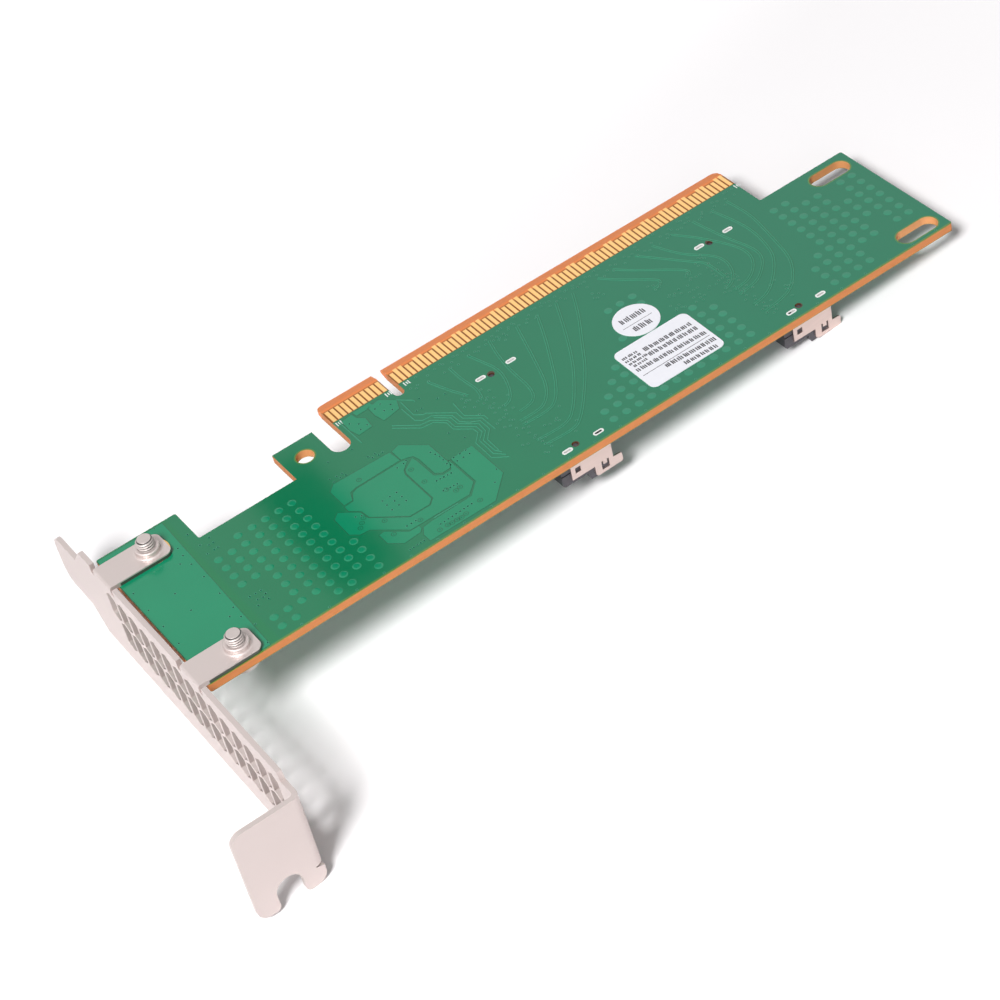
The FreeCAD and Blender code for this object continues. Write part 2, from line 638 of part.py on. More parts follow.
def round_collar(body, name, height, drop):
    """Flare the foot of a drawn collar and soften its rim."""
    levels = (("foot", height, card.collar_foot), ("rim", height + card.collar_high, card.collar_lip))
    for kind, level, radius in levels:
        base = body.Tip
        rounds = body.newObject("PartDesign::Fillet", "%s_collar_%s" % (name, kind))
        rounds.Base = (base, collar_edges(base.Shape, level, drop))
        bind(rounds, Radius=radius)
        doc.recompute()
        if rounds.Shape.isNull() or not rounds.Shape.isValid():
            raise RuntimeError(rounds.Name + " does not build")


def collar_edges(shape, level, drop):
    """Names of the round edges of a collar at one height."""
    middle = FreeCAD.Vector(screw_along.number, -drop.number, level.number)
    names = []
    for number, edge in enumerate(shape.Edges, start=1):
        centre = getattr(edge.Curve, "Center", None)
        if centre is not None and (centre - middle).Length < 1e-4:
            names.append("Edge%d" % number)
    return names


def add_vents(body, top):
    """Two staggered rows of six sided cells, cut as one pair and repeated along the plate."""
    cells = new_sketch(body, "vent_cells", "YZ", plate_outside)
    half = card.vent_width / 2
    side = card.vent_side / 2
    for row in range(2):
        middle = -card.vent_start - row * card.vent_pitch / 2
        height = top - card.vent_drop - row * card.vent_row
        draw_outline(cells, (
            (middle - half, height - side), (middle, height - side - card.vent_point),
            (middle + half, height - side), (middle + half, height + side),
            (middle, height + side + card.vent_point), (middle - half, height + side)))
    pair = add_pocket(body, "vent_pair", cells, card.sheet_thick, reverse=True)
    steps = ((tab_face - card.vent_start - card.vent_end) / card.vent_pitch).whole()
    rows = body.newObject("PartDesign::LinearPattern", "vent_rows")
    rows.Originals = [pair]
    rows.Direction = (cells, ["H_Axis"])
    rows.Reversed = True
    bind(rows, Length=card.vent_pitch * steps, Occurrences=steps + 1.0)
    body.Tip = rows
    doc.recompute()


# Bracket screws: pan heads under the board, threads up through the ears.
def make_screws():
    profile_base = component_face.number
    head = card.screw_head.number / 2
    high = card.screw_head_high.number
    thread = card.screw_thread.number / 2
    tip = card.screw_tip.number
    end = (ear_top + card.screw_stand).number
    flat = card.screw_head_flat.number / 2
    side = card.screw_head_side.number
    outline = [(0, profile_base - high), (flat, profile_base - high), (head, profile_base - side),
               (head, profile_base), (thread, profile_base), (thread, end - tip), (thread - tip, end), (0, end)]
    points = [FreeCAD.Vector(radius, 0, height) for radius, height in outline]
    face = Part.Face(Part.makePolygon(points + points[:1]))
    solid = face.revolve(FreeCAD.Vector(0, 0, 0), FreeCAD.Vector(0, 0, 1), 360)
    arm = card.screw_drive_arm.number
    reach = card.screw_drive.number
    deep = card.screw_drive_deep.number
    for width, depth in ((reach, arm), (arm, reach)):
        corner = FreeCAD.Vector(-width / 2, -depth / 2, profile_base - high)
        solid = solid.cut(Part.makeBox(width, depth, deep, corner))
    solids = [solid.translated(FreeCAD.Vector(screw_along.number, -drop.number, 0)) for drop in screw_drops]
    return make_group("bracket_screws", solids)


# Cable sockets. Each has a moulded housing, two steel end plates and two rows of contacts.
def make_end_plate(label, place, drop):
    body = new_body(label)
    front = card.plate_front
    hook_top = component_face - card.hook_start
    profile = new_sketch(body, label + "_outline", "XZ", drop - card.plate_sheet / 2)
    deep = component_face - card.plate_deep
    shallow = component_face - card.plate_shallow
    hook_low = deep + card.hook_taper
    draw_outline(profile, (
        (-card.plate_back, component_face), (-card.plate_back, shallow), (card.plate_break, shallow),
        (card.plate_break, deep + card.plate_bevel), (card.plate_break + card.plate_bevel, deep),
        (card.hook_reach, hook_low), (card.hook_reach, hook_top), (front, hook_top + card.hook_taper),
        (front, component_face)))
    add_pad(body, label + "_blank", profile, card.plate_sheet)
    hook_corners = ((card.hook_reach, hook_low), (card.hook_reach, hook_top))
    add_rounds(body, label + "_hook", hook_corners, "xz", card.hook_round)
    half = card.tab_pin_width / 2
    bevel = card.tab_pin_bevel
    root_low = component_face - card.tab_root
    root = new_sketch(body, label + "_pin_root", "XZ", drop - card.plate_sheet / 2)
    draw_outline(root, ((-half, root_low), (-card.plate_back, root_low - bevel),
                        (-card.plate_back, component_face), (-half, component_face)))
    add_pad(body, label + "_pin_root_pad", root, card.plate_sheet)
    pins = new_sketch(body, label + "_pins", "XZ", drop - card.plate_sheet / 2)
    pin_top = solder_face - card.tab_pin_short
    for along in (ZERO, card.pin_slot_spacing):
        draw_outline(pins, (
            (along - half, component_face), (along + half, component_face), (along + half, pin_top - bevel),
            (along + half - bevel, pin_top), (along - half + bevel, pin_top), (along - half, pin_top - bevel)))
    add_pad(body, label + "_pins_pad", pins, card.plate_sheet)
    windows = new_sketch(body, label + "_windows", "XZ", drop)
    small = card.window_small
    small_top = component_face - card.window_small_drop
    draw_outline(windows, (
        (card.window_small_along, small_top - small), (card.window_small_along + small, small_top - small),
        (card.window_small_along + small, small_top), (card.window_small_along, small_top)))
    left = card.window_along
    right = left + card.window_wide
    upper = component_face - card.window_drop
    floor = upper - card.window_high
    slit = (card.window_wide - card.window_tongue) / 2
    tongue = upper - card.window_tongue_long
    draw_outline(windows, ((left, floor), (right, floor), (right, upper), (right - slit, upper),
                           (right - slit, tongue), (left + slit, tongue), (left + slit, upper), (left, upper)))
    add_pocket(body, label + "_window_cut", windows)
    body.setExpression("Placement.Base.x", place.formula)
    return body


def make_housing(label, place):
    body = new_body(label)
    upper = card.socket_upper + card.plate_sheet / 2
    inner = socket_length - card.plate_sheet
    deep = component_face - card.housing_deep
    shallow = component_face - card.housing_shallow
    back = -card.housing_back
    front = card.housing_front
    profile = new_sketch(body, label + "_outline", "XZ", upper)
    bevel = card.housing_bevel
    draw_outline(profile, (
        (back, component_face - card.housing_foot), (back, shallow + bevel), (back + bevel, shallow),
        (card.housing_break, shallow), (card.housing_break + bevel, deep), (front, deep),
        (front, component_face), (back + card.housing_foot, component_face)))
    add_pad(body, label + "_blank", profile, inner)
    room = new_sketch(body, label + "_tail_room", "XY", component_face)
    wall = card.housing_wall
    near = -(upper + card.housing_end_wall)
    far = -(upper + inner - card.housing_end_wall)
    draw_outline(room, ((back + wall, far), (card.tail_room_front, far), (card.tail_room_front, near),
                        (back + wall, near)))
    add_pocket(body, label + "_tail_room_cut", room, card.housing_shallow - wall)
    gate = new_sketch(body, label + "_tail_gate", "XY", component_face)
    outside = back - card.overcut
    draw_outline(gate, ((outside, far), (back + wall, far), (back + wall, near), (outside, near)))
    add_pocket(body, label + "_tail_gate_cut", gate, card.gate_high)
    for name, lift, inward in (("upper", upper, True), ("lower", upper + inner, False)):
        groove = new_sketch(body, "%s_%s_groove" % (label, name), "XZ", lift)
        groove_top = component_face - card.groove_drop
        groove_low = groove_top - card.groove_high
        draw_outline(groove, ((back, groove_low), (-card.plate_back, groove_low), (-card.plate_back, groove_top),
                              (back, groove_top)))
        add_pocket(body, groove.Name + "_cut", groove, card.groove_deep, reverse=inward)
    mouth = new_sketch(body, label + "_mouth", "YZ", front)
    mouth_top = component_face - card.mouth_drop
    draw_outline(mouth, ((far, mouth_top - card.mouth_high), (near, mouth_top - card.mouth_high),
                         (near, mouth_top), (far, mouth_top)))
    add_pocket(body, label + "_mouth_cut", mouth, card.mouth_deep)
    slit_end = front - card.mouth_deep + card.slit_start
    slits = new_sketch(body, label + "_slits", "YZ", slit_end)
    half_row = (row_length + card.pin_wide) / 2 + card.pin_clearance
    centre = -(card.socket_upper + socket_length / 2)
    for level in pin_levels():
        low = level - card.pin_thick / 2 - card.pin_clearance
        high = level + card.pin_thick / 2 + card.pin_clearance
        draw_outline(slits, ((centre - half_row, low), (centre + half_row, low), (centre + half_row, high),
                             (centre - half_row, high)))
    add_pocket(body, label + "_slits_cut", slits, slit_end - card.tail_room_front)
    pegs = new_sketch(body, label + "_pegs", "XY", component_face)
    for drop, inward in zip(end_plate_drops, (1, -1)):
        draw_circle(pegs, (card.peg_along, -(drop + inward * card.peg_inset)), card.peg_wide / 2)
    add_pad(body, label + "_pegs_pad", pegs, card.peg_long)
    body.setExpression("Placement.Base.x", place.formula)
    return body


def pin_levels():
    """Heights of the two contact rows: just inside the upper and the lower wall of the mating slot."""
    mouth_top = component_face - card.mouth_drop
    clear = card.pin_thick / 2 + card.pin_wall
    return mouth_top - clear, mouth_top - card.mouth_high + clear


def make_contact_row(label, place, level, riser):
    """A row of bent strips: a beam in the mating slot, a riser behind the housing wall and a solder foot."""
    thick = card.pin_thick.number
    beam_low = level.number - thick / 2
    beam_high = level.number + thick / 2
    tip = (card.housing_front - card.pin_recess).number
    back = riser.number
    board = component_face.number
    foot = back - card.pin_foot.number
    outline = ((tip, beam_low), (tip, beam_high), (back, beam_high), (back, board), (foot, board),
               (foot, board - thick), (back - thick, board - thick), (back - thick, beam_low))
    wide = card.pin_wide.number
    points = [FreeCAD.Vector(x + place.number, 0, z) for x, z in outline]
    strip = Part.Face(Part.makePolygon(points + points[:1])).extrude(FreeCAD.Vector(0, wide, 0))
    count = int(round(card.pin_count.number))
    first = -(card.socket_upper + card.row_to_plate + row_length).number - wide / 2
    solids = [strip.translated(FreeCAD.Vector(0, first + card.pin_pitch.number * index, 0))
              for index in range(count)]
    return make_group(label, solids)


def make_socket(number, place):
    name = "socket_%d_" % number
    levels = pin_levels()
    pieces = [make_housing(name + "housing", place)]
    for side, drop in zip(("upper", "lower"), end_plate_drops):
        pieces.append(make_end_plate(name + side + "_end_plate", place, drop))
    riser = card.tail_room_front - card.riser_wall
    pieces.append(make_contact_row(name + "near_contacts", place, levels[0], riser))
    pieces.append(make_contact_row(name + "far_contacts", place, levels[1], riser - card.riser_spacing))
    return pieces


# Tinned rings: the plated wall of each solder slot with a rim on both faces.
def make_rings():
    def capsule(length, width, low, high):
        half = (length - width) / 2
        block = Part.makeBox(2 * half, width, high - low, FreeCAD.Vector(-half, -width / 2, low))
        for end in (-half, half):
            block = block.fuse(Part.makeCylinder(width / 2, high - low, FreeCAD.Vector(end, 0, low)))
        return block.removeSplitter()

    length = card.pin_slot_length.number
    width = card.pin_slot_width.number
    rim = 2 * card.ring_rim.number
    wall = 2 * card.ring_wall.number
    low = component_face.number
    high = solder_face.number
    thick = card.ring_thick.number
    ring = capsule(length, width, low, high)
    ring = ring.fuse(capsule(length + rim, width + rim, high, high + thick)).removeSplitter()
    beyond = card.overcut.number
    ring = ring.cut(capsule(length - wall, width - wall, low - beyond, high + beyond))
    solids = []
    for place in socket_places:
        for drop in end_plate_drops:
            for step in (ZERO, card.pin_slot_spacing):
                solids.append(ring.translated(FreeCAD.Vector((place + step).number, -drop.number, 0)))
    return make_group("tinned_slot_rings", solids)


# Stickers on the solder face.
def make_labels():
    disc = new_body("round_label")
    edge = new_sketch(disc, "round_label_outline", "XY", solder_face)
    draw_circle(edge, (card.round_label_along, -card.round_label_drop), card.round_label_wide / 2)
    add_pad(disc, "round_label_sheet", edge, card.label_thick)
    panel = new_body("rectangular_label")
    left = card.long_label_along - card.long_label_wide / 2
    right = card.long_label_along + card.long_label_wide / 2
    low = -card.long_label_drop - card.long_label_high / 2
    high = -card.long_label_drop + card.long_label_high / 2
    outline = new_sketch(panel, "long_label_outline", "XY", solder_face)
    draw_outline(outline, ((left, low), (right, low), (right, high), (left, high)))
    add_pad(panel, "long_label_sheet", outline, card.label_thick)
    add_rounds(panel, "long_label_corners", ((left, low), (right, low), (right, high), (left, high)), "xy",
               card.long_label_round)
    return [disc, panel]


# Parts soldered to the component face: power, clock and memory chips with their small parts.
def on_component_face(long, wide, high, along, drop, lift=0.0):
    """A block that hangs from the component face, centred on a place of the board."""
    top = component_face.number - lift
    return Part.makeBox(long, wide, high, FreeCAD.Vector(along - long / 2, -drop - wide / 2, top - high))


def make_leaded_chip(label, size, place, leg_places, leg_wide):
    """A moulded body with bent legs along its two long sides, fused as the one piece that it is."""
    long, wide, high = size
    along, drop = place
    stand = card.chip_stand.number
    body = on_component_face(long, wide, high - stand, along, drop, stand)
    rims = [edge for edge in body.Edges if edge.BoundBox.ZMax < component_face.number - high + 1e-3]
    solid = body.makeChamfer(card.chip_bevel.number, rims)
    thick = card.leg_thick.number
    face = component_face.number
    middle = face - high / 2
    root = wide / 2 - card.leg_root.number
    knee = wide / 2 + card.leg_knee.number
    toe = wide / 2 + card.leg_reach.number
    outline = ((root, middle), (knee, middle), (knee, face - thick), (toe, face - thick), (toe, face),
               (knee - thick, face), (knee - thick, middle + thick), (root, middle + thick))
    for side, shift in leg_places:
        points = [FreeCAD.Vector(along + shift - leg_wide / 2, side * y - drop, z) for y, z in outline]
        leg = Part.Face(Part.makePolygon(points + points[:1])).extrude(FreeCAD.Vector(leg_wide, 0, 0))
        solid = solid.fuse(leg)
    return make_group(label, [solid.removeSplitter()])


def make_memory_chip():
    pitch = card.leg_pitch.number
    legs = [(side, pitch * (index - 1.5)) for side in (1, -1) for index in range(4)]
    size = (card.memory_long.number, card.memory_wide.number, card.memory_high.number)
    place = (card.memory_along.number, card.memory_drop.number)
    return make_leaded_chip("memory_chip", size, place, legs, card.leg_wide.number)


def make_regulator():
    size = (card.regulator_long.number, card.regulator_wide.number, card.regulator_high.number)
    place = (card.regulator_along.number, card.regulator_drop.number)
    pitch = card.regulator_leg_pitch.number
    legs = [(side, pitch * step) for side in (-1, 1) for step in (-1, 0, 1)]
    return make_leaded_chip("voltage_regulator", size, place, legs, card.regulator_leg_wide.number)


def make_clock_buffer():
    wide = card.buffer_wide.number
    along = card.buffer_along.number
    drop = card.buffer_drop.number
    solid = on_component_face(wide, wide, card.buffer_high.number, along, drop)
    pitch = card.buffer_pad_pitch.number
    count = int(round(card.buffer_pads.number))
    pad = card.buffer_pad_wide.number
    out = 2 * card.buffer_pad_out.number
    high = card.buffer_pad_high.number
    for index in range(count):
        shift = pitch * (index - (count - 1) / 2)
        for side in (-1, 1):
            reach = side * wide / 2
            solid = solid.fuse(on_component_face(pad, out, high, along + shift, drop + reach))
            solid = solid.fuse(on_component_face(out, pad, high, along + reach, drop + shift))
    return make_group("clock_buffer", [solid.removeSplitter()])


def make_inductor():
    body = new_body("power_inductor")
    half = card.inductor_wide / 2
    left = card.inductor_along - half
    right = card.inductor_along + half
    low = -card.regulator_drop - half
    high = -card.regulator_drop + half
    outline = new_sketch(body, "inductor_outline", "XY", component_face - card.inductor_high)
    draw_outline(outline, ((left, low), (right, low), (right, high), (left, high)))
    add_pad(body, "inductor_block", outline, card.inductor_high)
    add_rounds(body, "inductor_corners", ((left, low), (right, low), (right, high), (left, high)), "xy",
               card.inductor_corner, "PartDesign::Chamfer")
    return body


def make_chip_row(label, size, places):
    """Like blocks at a list of places, each turned by its own flag."""
    long, wide, high = size
    solids = []
    for along, drop, turned in places:
        across = (wide, long) if turned else (long, wide)
        solids.append(on_component_face(across[0], across[1], high, along.number, drop.number))
    return make_group(label, solids)


def make_small_parts():
    bulk = (card.bulk_long.number, card.bulk_wide.number, card.bulk_high.number)
    small = (card.small_long.number, card.small_wide.number, card.small_high.number)
    flat = (card.small_long.number, card.small_wide.number, card.resistor_high.number)
    drop = card.regulator_drop
    beside_regulator = card.regulator_along - (card.regulator_long + card.bulk_long) / 2 - card.part_gap
    beside_inductor = card.inductor_along + (card.inductor_wide + card.bulk_long) / 2 + card.part_gap
    bulk_places = [(along, drop + card.bulk_pitch * step, False)
                   for along in (beside_regulator, beside_inductor) for step in (-1, 0, 1)]
    firsts = [card.coupling_start + card.coupling_pitch * index
              for index in range(int(card.coupling_pairs.number))]
    coupling = [(along + card.coupling_gap * share, card.coupling_drop, True)
                for along in firsts for share in (-0.5, 0.5)]
    beside_buffer = (card.buffer_wide + card.small_long) / 2 + card.part_gap
    bypass = [(card.buffer_along + beside_buffer * side, card.buffer_drop + card.small_pitch * step, False)
              for side in (-1, 1) for step in (-1.5, -0.5, 0.5, 1.5)]
    beside_memory = card.memory_along + (card.memory_long + card.small_long) / 2 + card.part_gap
    resistors = [(beside_memory, card.memory_drop + card.small_pitch * step, False) for step in (-1, 0, 1)]
    above = drop - (card.regulator_wide + card.small_long) / 2 - card.leg_reach - card.part_gap
    resistors += [(card.regulator_along + card.small_pitch * step, above, True) for step in (-1, 0, 1)]
    return [make_chip_row("bulk_capacitors", bulk, bulk_places),
            make_chip_row("coupling_capacitors", small, coupling),
            make_chip_row("bypass_capacitors", small, bypass),
            make_chip_row("resistors", flat, resistors)]


pieces = [make_board()]
pieces.append(make_edge_contacts("solder_side_contacts", solder_face, 1))
pieces.append(make_edge_contacts("component_side_contacts", component_face, -1))
pieces.append(make_bracket())
pieces.append(make_screws())
for number, place in enumerate(socket_places, start=1):
    pieces.extend(make_socket(number, place))
pieces.append(make_rings())
pieces.extend(make_labels())
pieces.extend((make_regulator(), make_inductor(), make_clock_buffer(), make_memory_chip()))
pieces.extend(make_small_parts())

doc.recompute()
for item in doc.Objects:
    if "Invalid" in item.State or "Error" in item.State:
        raise RuntimeError("%s did not build: %s" % (item.Label, item.State))
for piece in pieces:
    if piece.Shape.isNull() or not piece.Shape.isValid():
        raise RuntimeError(piece.Label + " has no valid shape")

os.makedirs("parts", exist_ok=True)
for piece in pieces:
    piece.Shape.exportStep("parts/%s.step" % piece.Label)
    box = piece.Shape.BoundBox
    print("%-28s solids %3d volume %9.3f  x %.2f..%.2f  y %.2f..%.2f  z %.2f..%.2f" % (
        piece.Label, len(piece.Shape.Solids), piece.Shape.Volume, box.XMin, box.XMax, box.YMin, box.YMax,
        box.ZMin, box.ZMax))
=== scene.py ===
import math

import bmesh
import bpy
import numpy as np
from mathutils import Matrix, Vector
from mathutils.geometry import tessellate_polygon


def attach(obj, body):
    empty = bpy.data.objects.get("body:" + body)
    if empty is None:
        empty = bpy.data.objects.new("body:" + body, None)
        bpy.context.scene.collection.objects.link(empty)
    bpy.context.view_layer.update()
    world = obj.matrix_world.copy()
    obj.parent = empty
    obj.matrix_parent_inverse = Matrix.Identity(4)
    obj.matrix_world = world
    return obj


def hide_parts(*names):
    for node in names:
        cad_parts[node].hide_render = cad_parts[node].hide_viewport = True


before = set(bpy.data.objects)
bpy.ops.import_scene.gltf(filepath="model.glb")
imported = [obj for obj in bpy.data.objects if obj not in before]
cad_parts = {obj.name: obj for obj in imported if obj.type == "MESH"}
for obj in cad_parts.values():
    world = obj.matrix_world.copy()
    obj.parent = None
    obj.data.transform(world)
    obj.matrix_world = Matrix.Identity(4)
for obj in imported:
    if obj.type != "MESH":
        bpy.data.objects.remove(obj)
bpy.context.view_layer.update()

# The table. A white sheet under soft light from the upper left. The card lies on the edge of its bracket and
# on the feet of the second socket, so the sheet leans under the card, which keeps its frame.
MM = 0.001
camera_place = Vector((-133.793, -321.542, 288.919)) * MM
camera_right = Vector((0.807291, -0.562045, -0.179963))
camera_down = Vector((-0.502139, -0.493963, -0.709829))
focal_pixels = 2709.5
image_pixels = 1000.0
sensor_wide = 36.0


def set_up_camera():
    """A pinhole camera: its lens is the sensor's width times the focal length as a share of the frame."""
    data = bpy.data.cameras.new("camera")
    data.sensor_width = sensor_wide
    data.lens = sensor_wide * focal_pixels / image_pixels
    data.clip_start = 0.01
    data.clip_end = 20.0
    camera = bpy.data.objects.new("camera", data)
    bpy.context.collection.objects.link(camera)
    back = camera_down.cross(camera_right).normalized()
    turn = Matrix((camera_right, -camera_down, back)).transposed().to_4x4()
    camera.matrix_world = Matrix.Translation(camera_place) @ turn
    bpy.context.scene.camera = camera


set_up_camera()


class Finish:
    """A material or a sky while it is mixed. node() adds any node and gives back one of its outputs as a Tone."""

    def __init__(self, name, made_of=bpy.data.materials, shader="Principled BSDF"):
        self.material = made_of.new(name)
        self.material.use_nodes = True
        self.tree = self.material.node_tree
        self.shader = self.tree.nodes[shader]

    def node(self, kind, inputs=None, output=0, **settings):
        """Any node: its settings come first, then the values or links of its sockets."""
        made = self.tree.nodes.new(kind)
        for name, value in settings.items():
            setattr(made, name, value)
        for name, value in (inputs or {}).items():
            if isinstance(value, Tone):
                self.tree.links.new(value.socket, made.inputs[name])
            else:
                made.inputs[name].default_value = value
        return Tone(self, made.outputs[output])

    def place(self):
        """Object coordinates in millimetres, as three tones."""
        where = self.node("ShaderNodeTexCoord", output="Object")
        parts = [self.node("ShaderNodeSeparateXYZ", {"Vector": where}, axis) for axis in "XYZ"]
        return [part * 1000.0 for part in parts]

    def grain(self, size, detail=2.0, stretch=(1.0, 1.0, 1.0)):
        """Noise between 0 and 1 whose blotches are about size millimetres across."""
        where = self.node("ShaderNodeTexCoord", output="Object")
        scale = [value / (size * MM) for value in stretch]
        turned = self.node("ShaderNodeMapping", {"Vector": where, "Scale": scale})
        return self.node("ShaderNodeTexNoise", {"Vector": turned, "Scale": 1.0, "Detail": detail}, "Fac")

    def mix(self, share, first, second):
        """First colour where share is 0, second where it is 1: a Mix node's sockets 6 and 7."""
        inputs = {0: share, 6: first if isinstance(first, Tone) else (*first, 1.0),
                  7: second if isinstance(second, Tone) else (*second, 1.0)}
        return self.node("ShaderNodeMix", inputs, 2, data_type="RGBA")

    def bump(self, height, strength, depth):
        """A normal from a height tone; depth is the height's full range in millimetres."""
        return self.node("ShaderNodeBump", {"Height": height, "Strength": strength, "Distance": depth * MM})

    def set(self, **values):
        """Give the shader its colours, numbers or tones; an underscore is a space in the socket's name."""
        for name, value in values.items():
            socket = self.shader.inputs[name.replace("_", " ")]
            if isinstance(value, Tone):
                self.tree.links.new(value.socket, socket)
            else:
                socket.default_value = (*value, 1.0) if isinstance(value, tuple) else value
        return self.material


class Tone:
    """A node's output that takes part in sums: each operator adds one Math node."""

    def __init__(self, finish, socket):
        self.finish = finish
        self.socket = socket

    def math(self, operation, first, second=0.0):
        return self.finish.node("ShaderNodeMath", {0: first, 1: second}, operation=operation)

    def __add__(self, other):
        return self.math("ADD", self, other)

    def __sub__(self, other):
        return self.math("SUBTRACT", self, other)

    def __rsub__(self, other):
        return self.math("SUBTRACT", other, self)

    def __mul__(self, other):
        return self.math("MULTIPLY", self, other)

    def __abs__(self):
        return self.math("ABSOLUTE", self)

    def __pow__(self, other):
        return self.math("POWER", self, other)

    __radd__ = __add__
    __rmul__ = __mul__

    def most(self, other):
        return self.math("MAXIMUM", self, other)

    def rise(self, low, high):
        """0 below low, 1 above high and a smooth step between."""
        inputs = {"Value": self, "From Min": low, "From Max": high}
        return self.finish.node("ShaderNodeMapRange", inputs, interpolation_type="SMOOTHSTEP")


def link_mesh(name, points, faces, smooth=False):
    """A mesh object at the origin from an array of points in millimetres and lists of corner numbers."""
    mesh = bpy.data.meshes.new(name)
    mesh.from_pydata((np.asarray(points, float) * MM).tolist(), [], [list(map(int, face)) for face in faces])
    mesh.validate()
    mesh.polygons.foreach_set("use_smooth", [smooth] * len(mesh.polygons))
    piece = bpy.data.objects.new(name, mesh)
    bpy.context.collection.objects.link(piece)
    return piece


def grid_faces(rows, columns, closed=False):
    """Corner numbers of the quads between neighbouring rows and columns of a grid of points."""
    across = np.arange(columns if closed else columns - 1)
    up = np.arange(rows - 1)[:, None] * columns
    right = (across + 1) % columns
    corners = np.stack([up + across, up + right, up + columns + right, up + columns + across], axis=-1)
    return corners.reshape(-1, 4)


card_middle = (10.0, -20.0)
foot_line = (65.0, -7.67)
floor_slope = 0.0885
floor_reach = 2500.0
shadow_fades = (100.0, 260.0)
past_card = (20.0, 90.0)
glow_by_card = 0.04
glow_gain = 0.24


def make_floor():
    """A square sheet: height = foot height + slope times the distance past the socket's feet."""
    span = np.linspace(-floor_reach, floor_reach, 3)
    along, across = np.meshgrid(span, span)
    height = foot_line[1] + floor_slope * (along - foot_line[0])
    points = np.stack([along, across, height], axis=-1).reshape(-1, 3)
    floor = link_mesh("floor", points, grid_faces(3, 3))
    finish = Finish("white_sheet")
    seen = finish.node("ShaderNodeLightPath", output="Is Camera Ray")
    mirrored = finish.node("ShaderNodeLightPath", output="Is Glossy Ray")
    along, across, _ = finish.place()
    far_off = ((along - card_middle[0]) ** 2.0 + abs(across - card_middle[1]) ** 2.0) ** 0.5
    past_shadow = far_off.rise(*shadow_fades).most(across.rise(*past_card))
    strength = seen.most(mirrored) * (glow_by_card + past_shadow * glow_gain)
    glow = finish.node("ShaderNodeEmission", {"Color": (1, 1, 1, 1), "Strength": strength})
    sheet = finish.node("ShaderNodeBsdfDiffuse", {"Color": (0.966, 0.946, 0.957, 1)})
    both = finish.node("ShaderNodeAddShader", {0: glow, 1: sheet})
    finish.tree.links.new(both.socket, finish.tree.nodes["Material Output"].inputs["Surface"])
    floor.data.materials.append(finish.material)


make_floor()

sky_on_card = 0.16
sky_seen = 1.0
lamps = {
    "high_lamp": {"width": 0.38, "watts": 17.0, "way": (-0.68, -0.47, 0.89)},
    "low_lamp": {"width": 0.90, "watts": 2.6, "way": (-0.45, -0.95, 0.30)},
}


def light_the_table():
    """An even sky that looks white to the camera and to mirrors, and two round lamps aimed at the card.

    The high one stands at the upper left, and the low one in front lights the upright faces.
    """
    sky = Finish("sky", bpy.data.worlds, "Background")
    seen = sky.node("ShaderNodeLightPath", output="Is Camera Ray")
    mirrored = sky.node("ShaderNodeLightPath", output="Is Glossy Ray")
    strength = seen.most(mirrored) * (sky_seen - sky_on_card) + sky_on_card
    bpy.context.scene.world = sky.set(Color=(1.0, 1.0, 1.0), Strength=strength)
    aim = Vector((*card_middle, 0.0)) * MM
    for name, lamp_facts in lamps.items():
        data = bpy.data.lights.new(name, "AREA")
        data.shape = "DISK"
        data.size = lamp_facts["width"]
        data.energy = lamp_facts["watts"]
        lamp = bpy.data.objects.new(name, data)
        bpy.context.collection.objects.link(lamp)
        lamp.location = aim + Vector(lamp_facts["way"])
        lamp.rotation_euler = (aim - lamp.location).to_track_quat("-Z", "Y").to_euler()


light_the_table()

strip_height = 30.0
strip_corners = ((-22.0, -14.0), (-9.0, -14.0), (-8.0, 24.0), (-21.0, 24.0))


def hang_dark_strip():
    """A dark quad over the card seen only by mirror rays: a painted reflection, the deep green band by the pours.
    """
    points = [(x, y, strip_height) for x, y in strip_corners]
    strip = link_mesh("dark_strip", points, [(3, 2, 1, 0)])
    finish = Finish("dark_seen_only_in_mirrors")
    # black, and seen only by mirror rays: a painted dark reflection on the coating
    mirror_dark = finish.mix(finish.grain(2.0), (0.0, 0.0, 0.0), (0.01, 0.01, 0.01))
    strip.data.materials.append(finish.set(Base_Color=mirror_dark, Roughness=1.0))
    for ray in ("camera", "diffuse", "shadow", "transmission"):
        setattr(strip, "visible_" + ray, False)


hang_dark_strip()

bpy.context.scene.view_settings.view_transform = "Standard"

# Circuit board. Glass fibre laminate, pressed with copper inside, coated green on both faces. The routed
# edges show the bare amber laminate, and so does the tongue, where the coating is held back.
board_thick = 1.57
board_face = board_thick / 2
lower_edge = -41.5
tongue_left = -12.15
tongue_right = 72.15
tongue_coat = -5.75
tongue_tip = -2.0
pad_outer = -2.3
peg_middle = (36.25, -27.15)
peg_reach = (22.85, 12.0)
peg_hole = 0.58
# the two far slots and the lug's hole: middle along and across, half of the straight run, radius
openings = ((85.0, -16.05, 2.25, 1.8), (85.0, -38.7, 2.25, 1.8), (-19.675, -9.2, 0.0, 1.6))
coat_rough = 0.17
coat_deep = (0.0015, 0.170, 0.070)
coat_thin = (0.16, 0.25, 0.03)
coat_over_copper = (0.0020, 0.236, 0.112)


def coated(name, colour):
    """The green coating: clear gloss over a colour that drifts by 7 % each way, with a faint ripple."""
    finish = Finish(name)
    deep = tuple(value * 0.93 for value in colour)
    light = tuple(value * 1.07 for value in colour)
    green = finish.mix(finish.grain(9.0), deep, light)
    ripple = finish.bump(finish.grain(0.6, 3.0), 0.10, 0.01)
    rough = finish.grain(3.0) * 0.06 + coat_rough
    finish.set(Base_Color=green, Roughness=rough, Normal=ripple, IOR=1.52)
    return finish


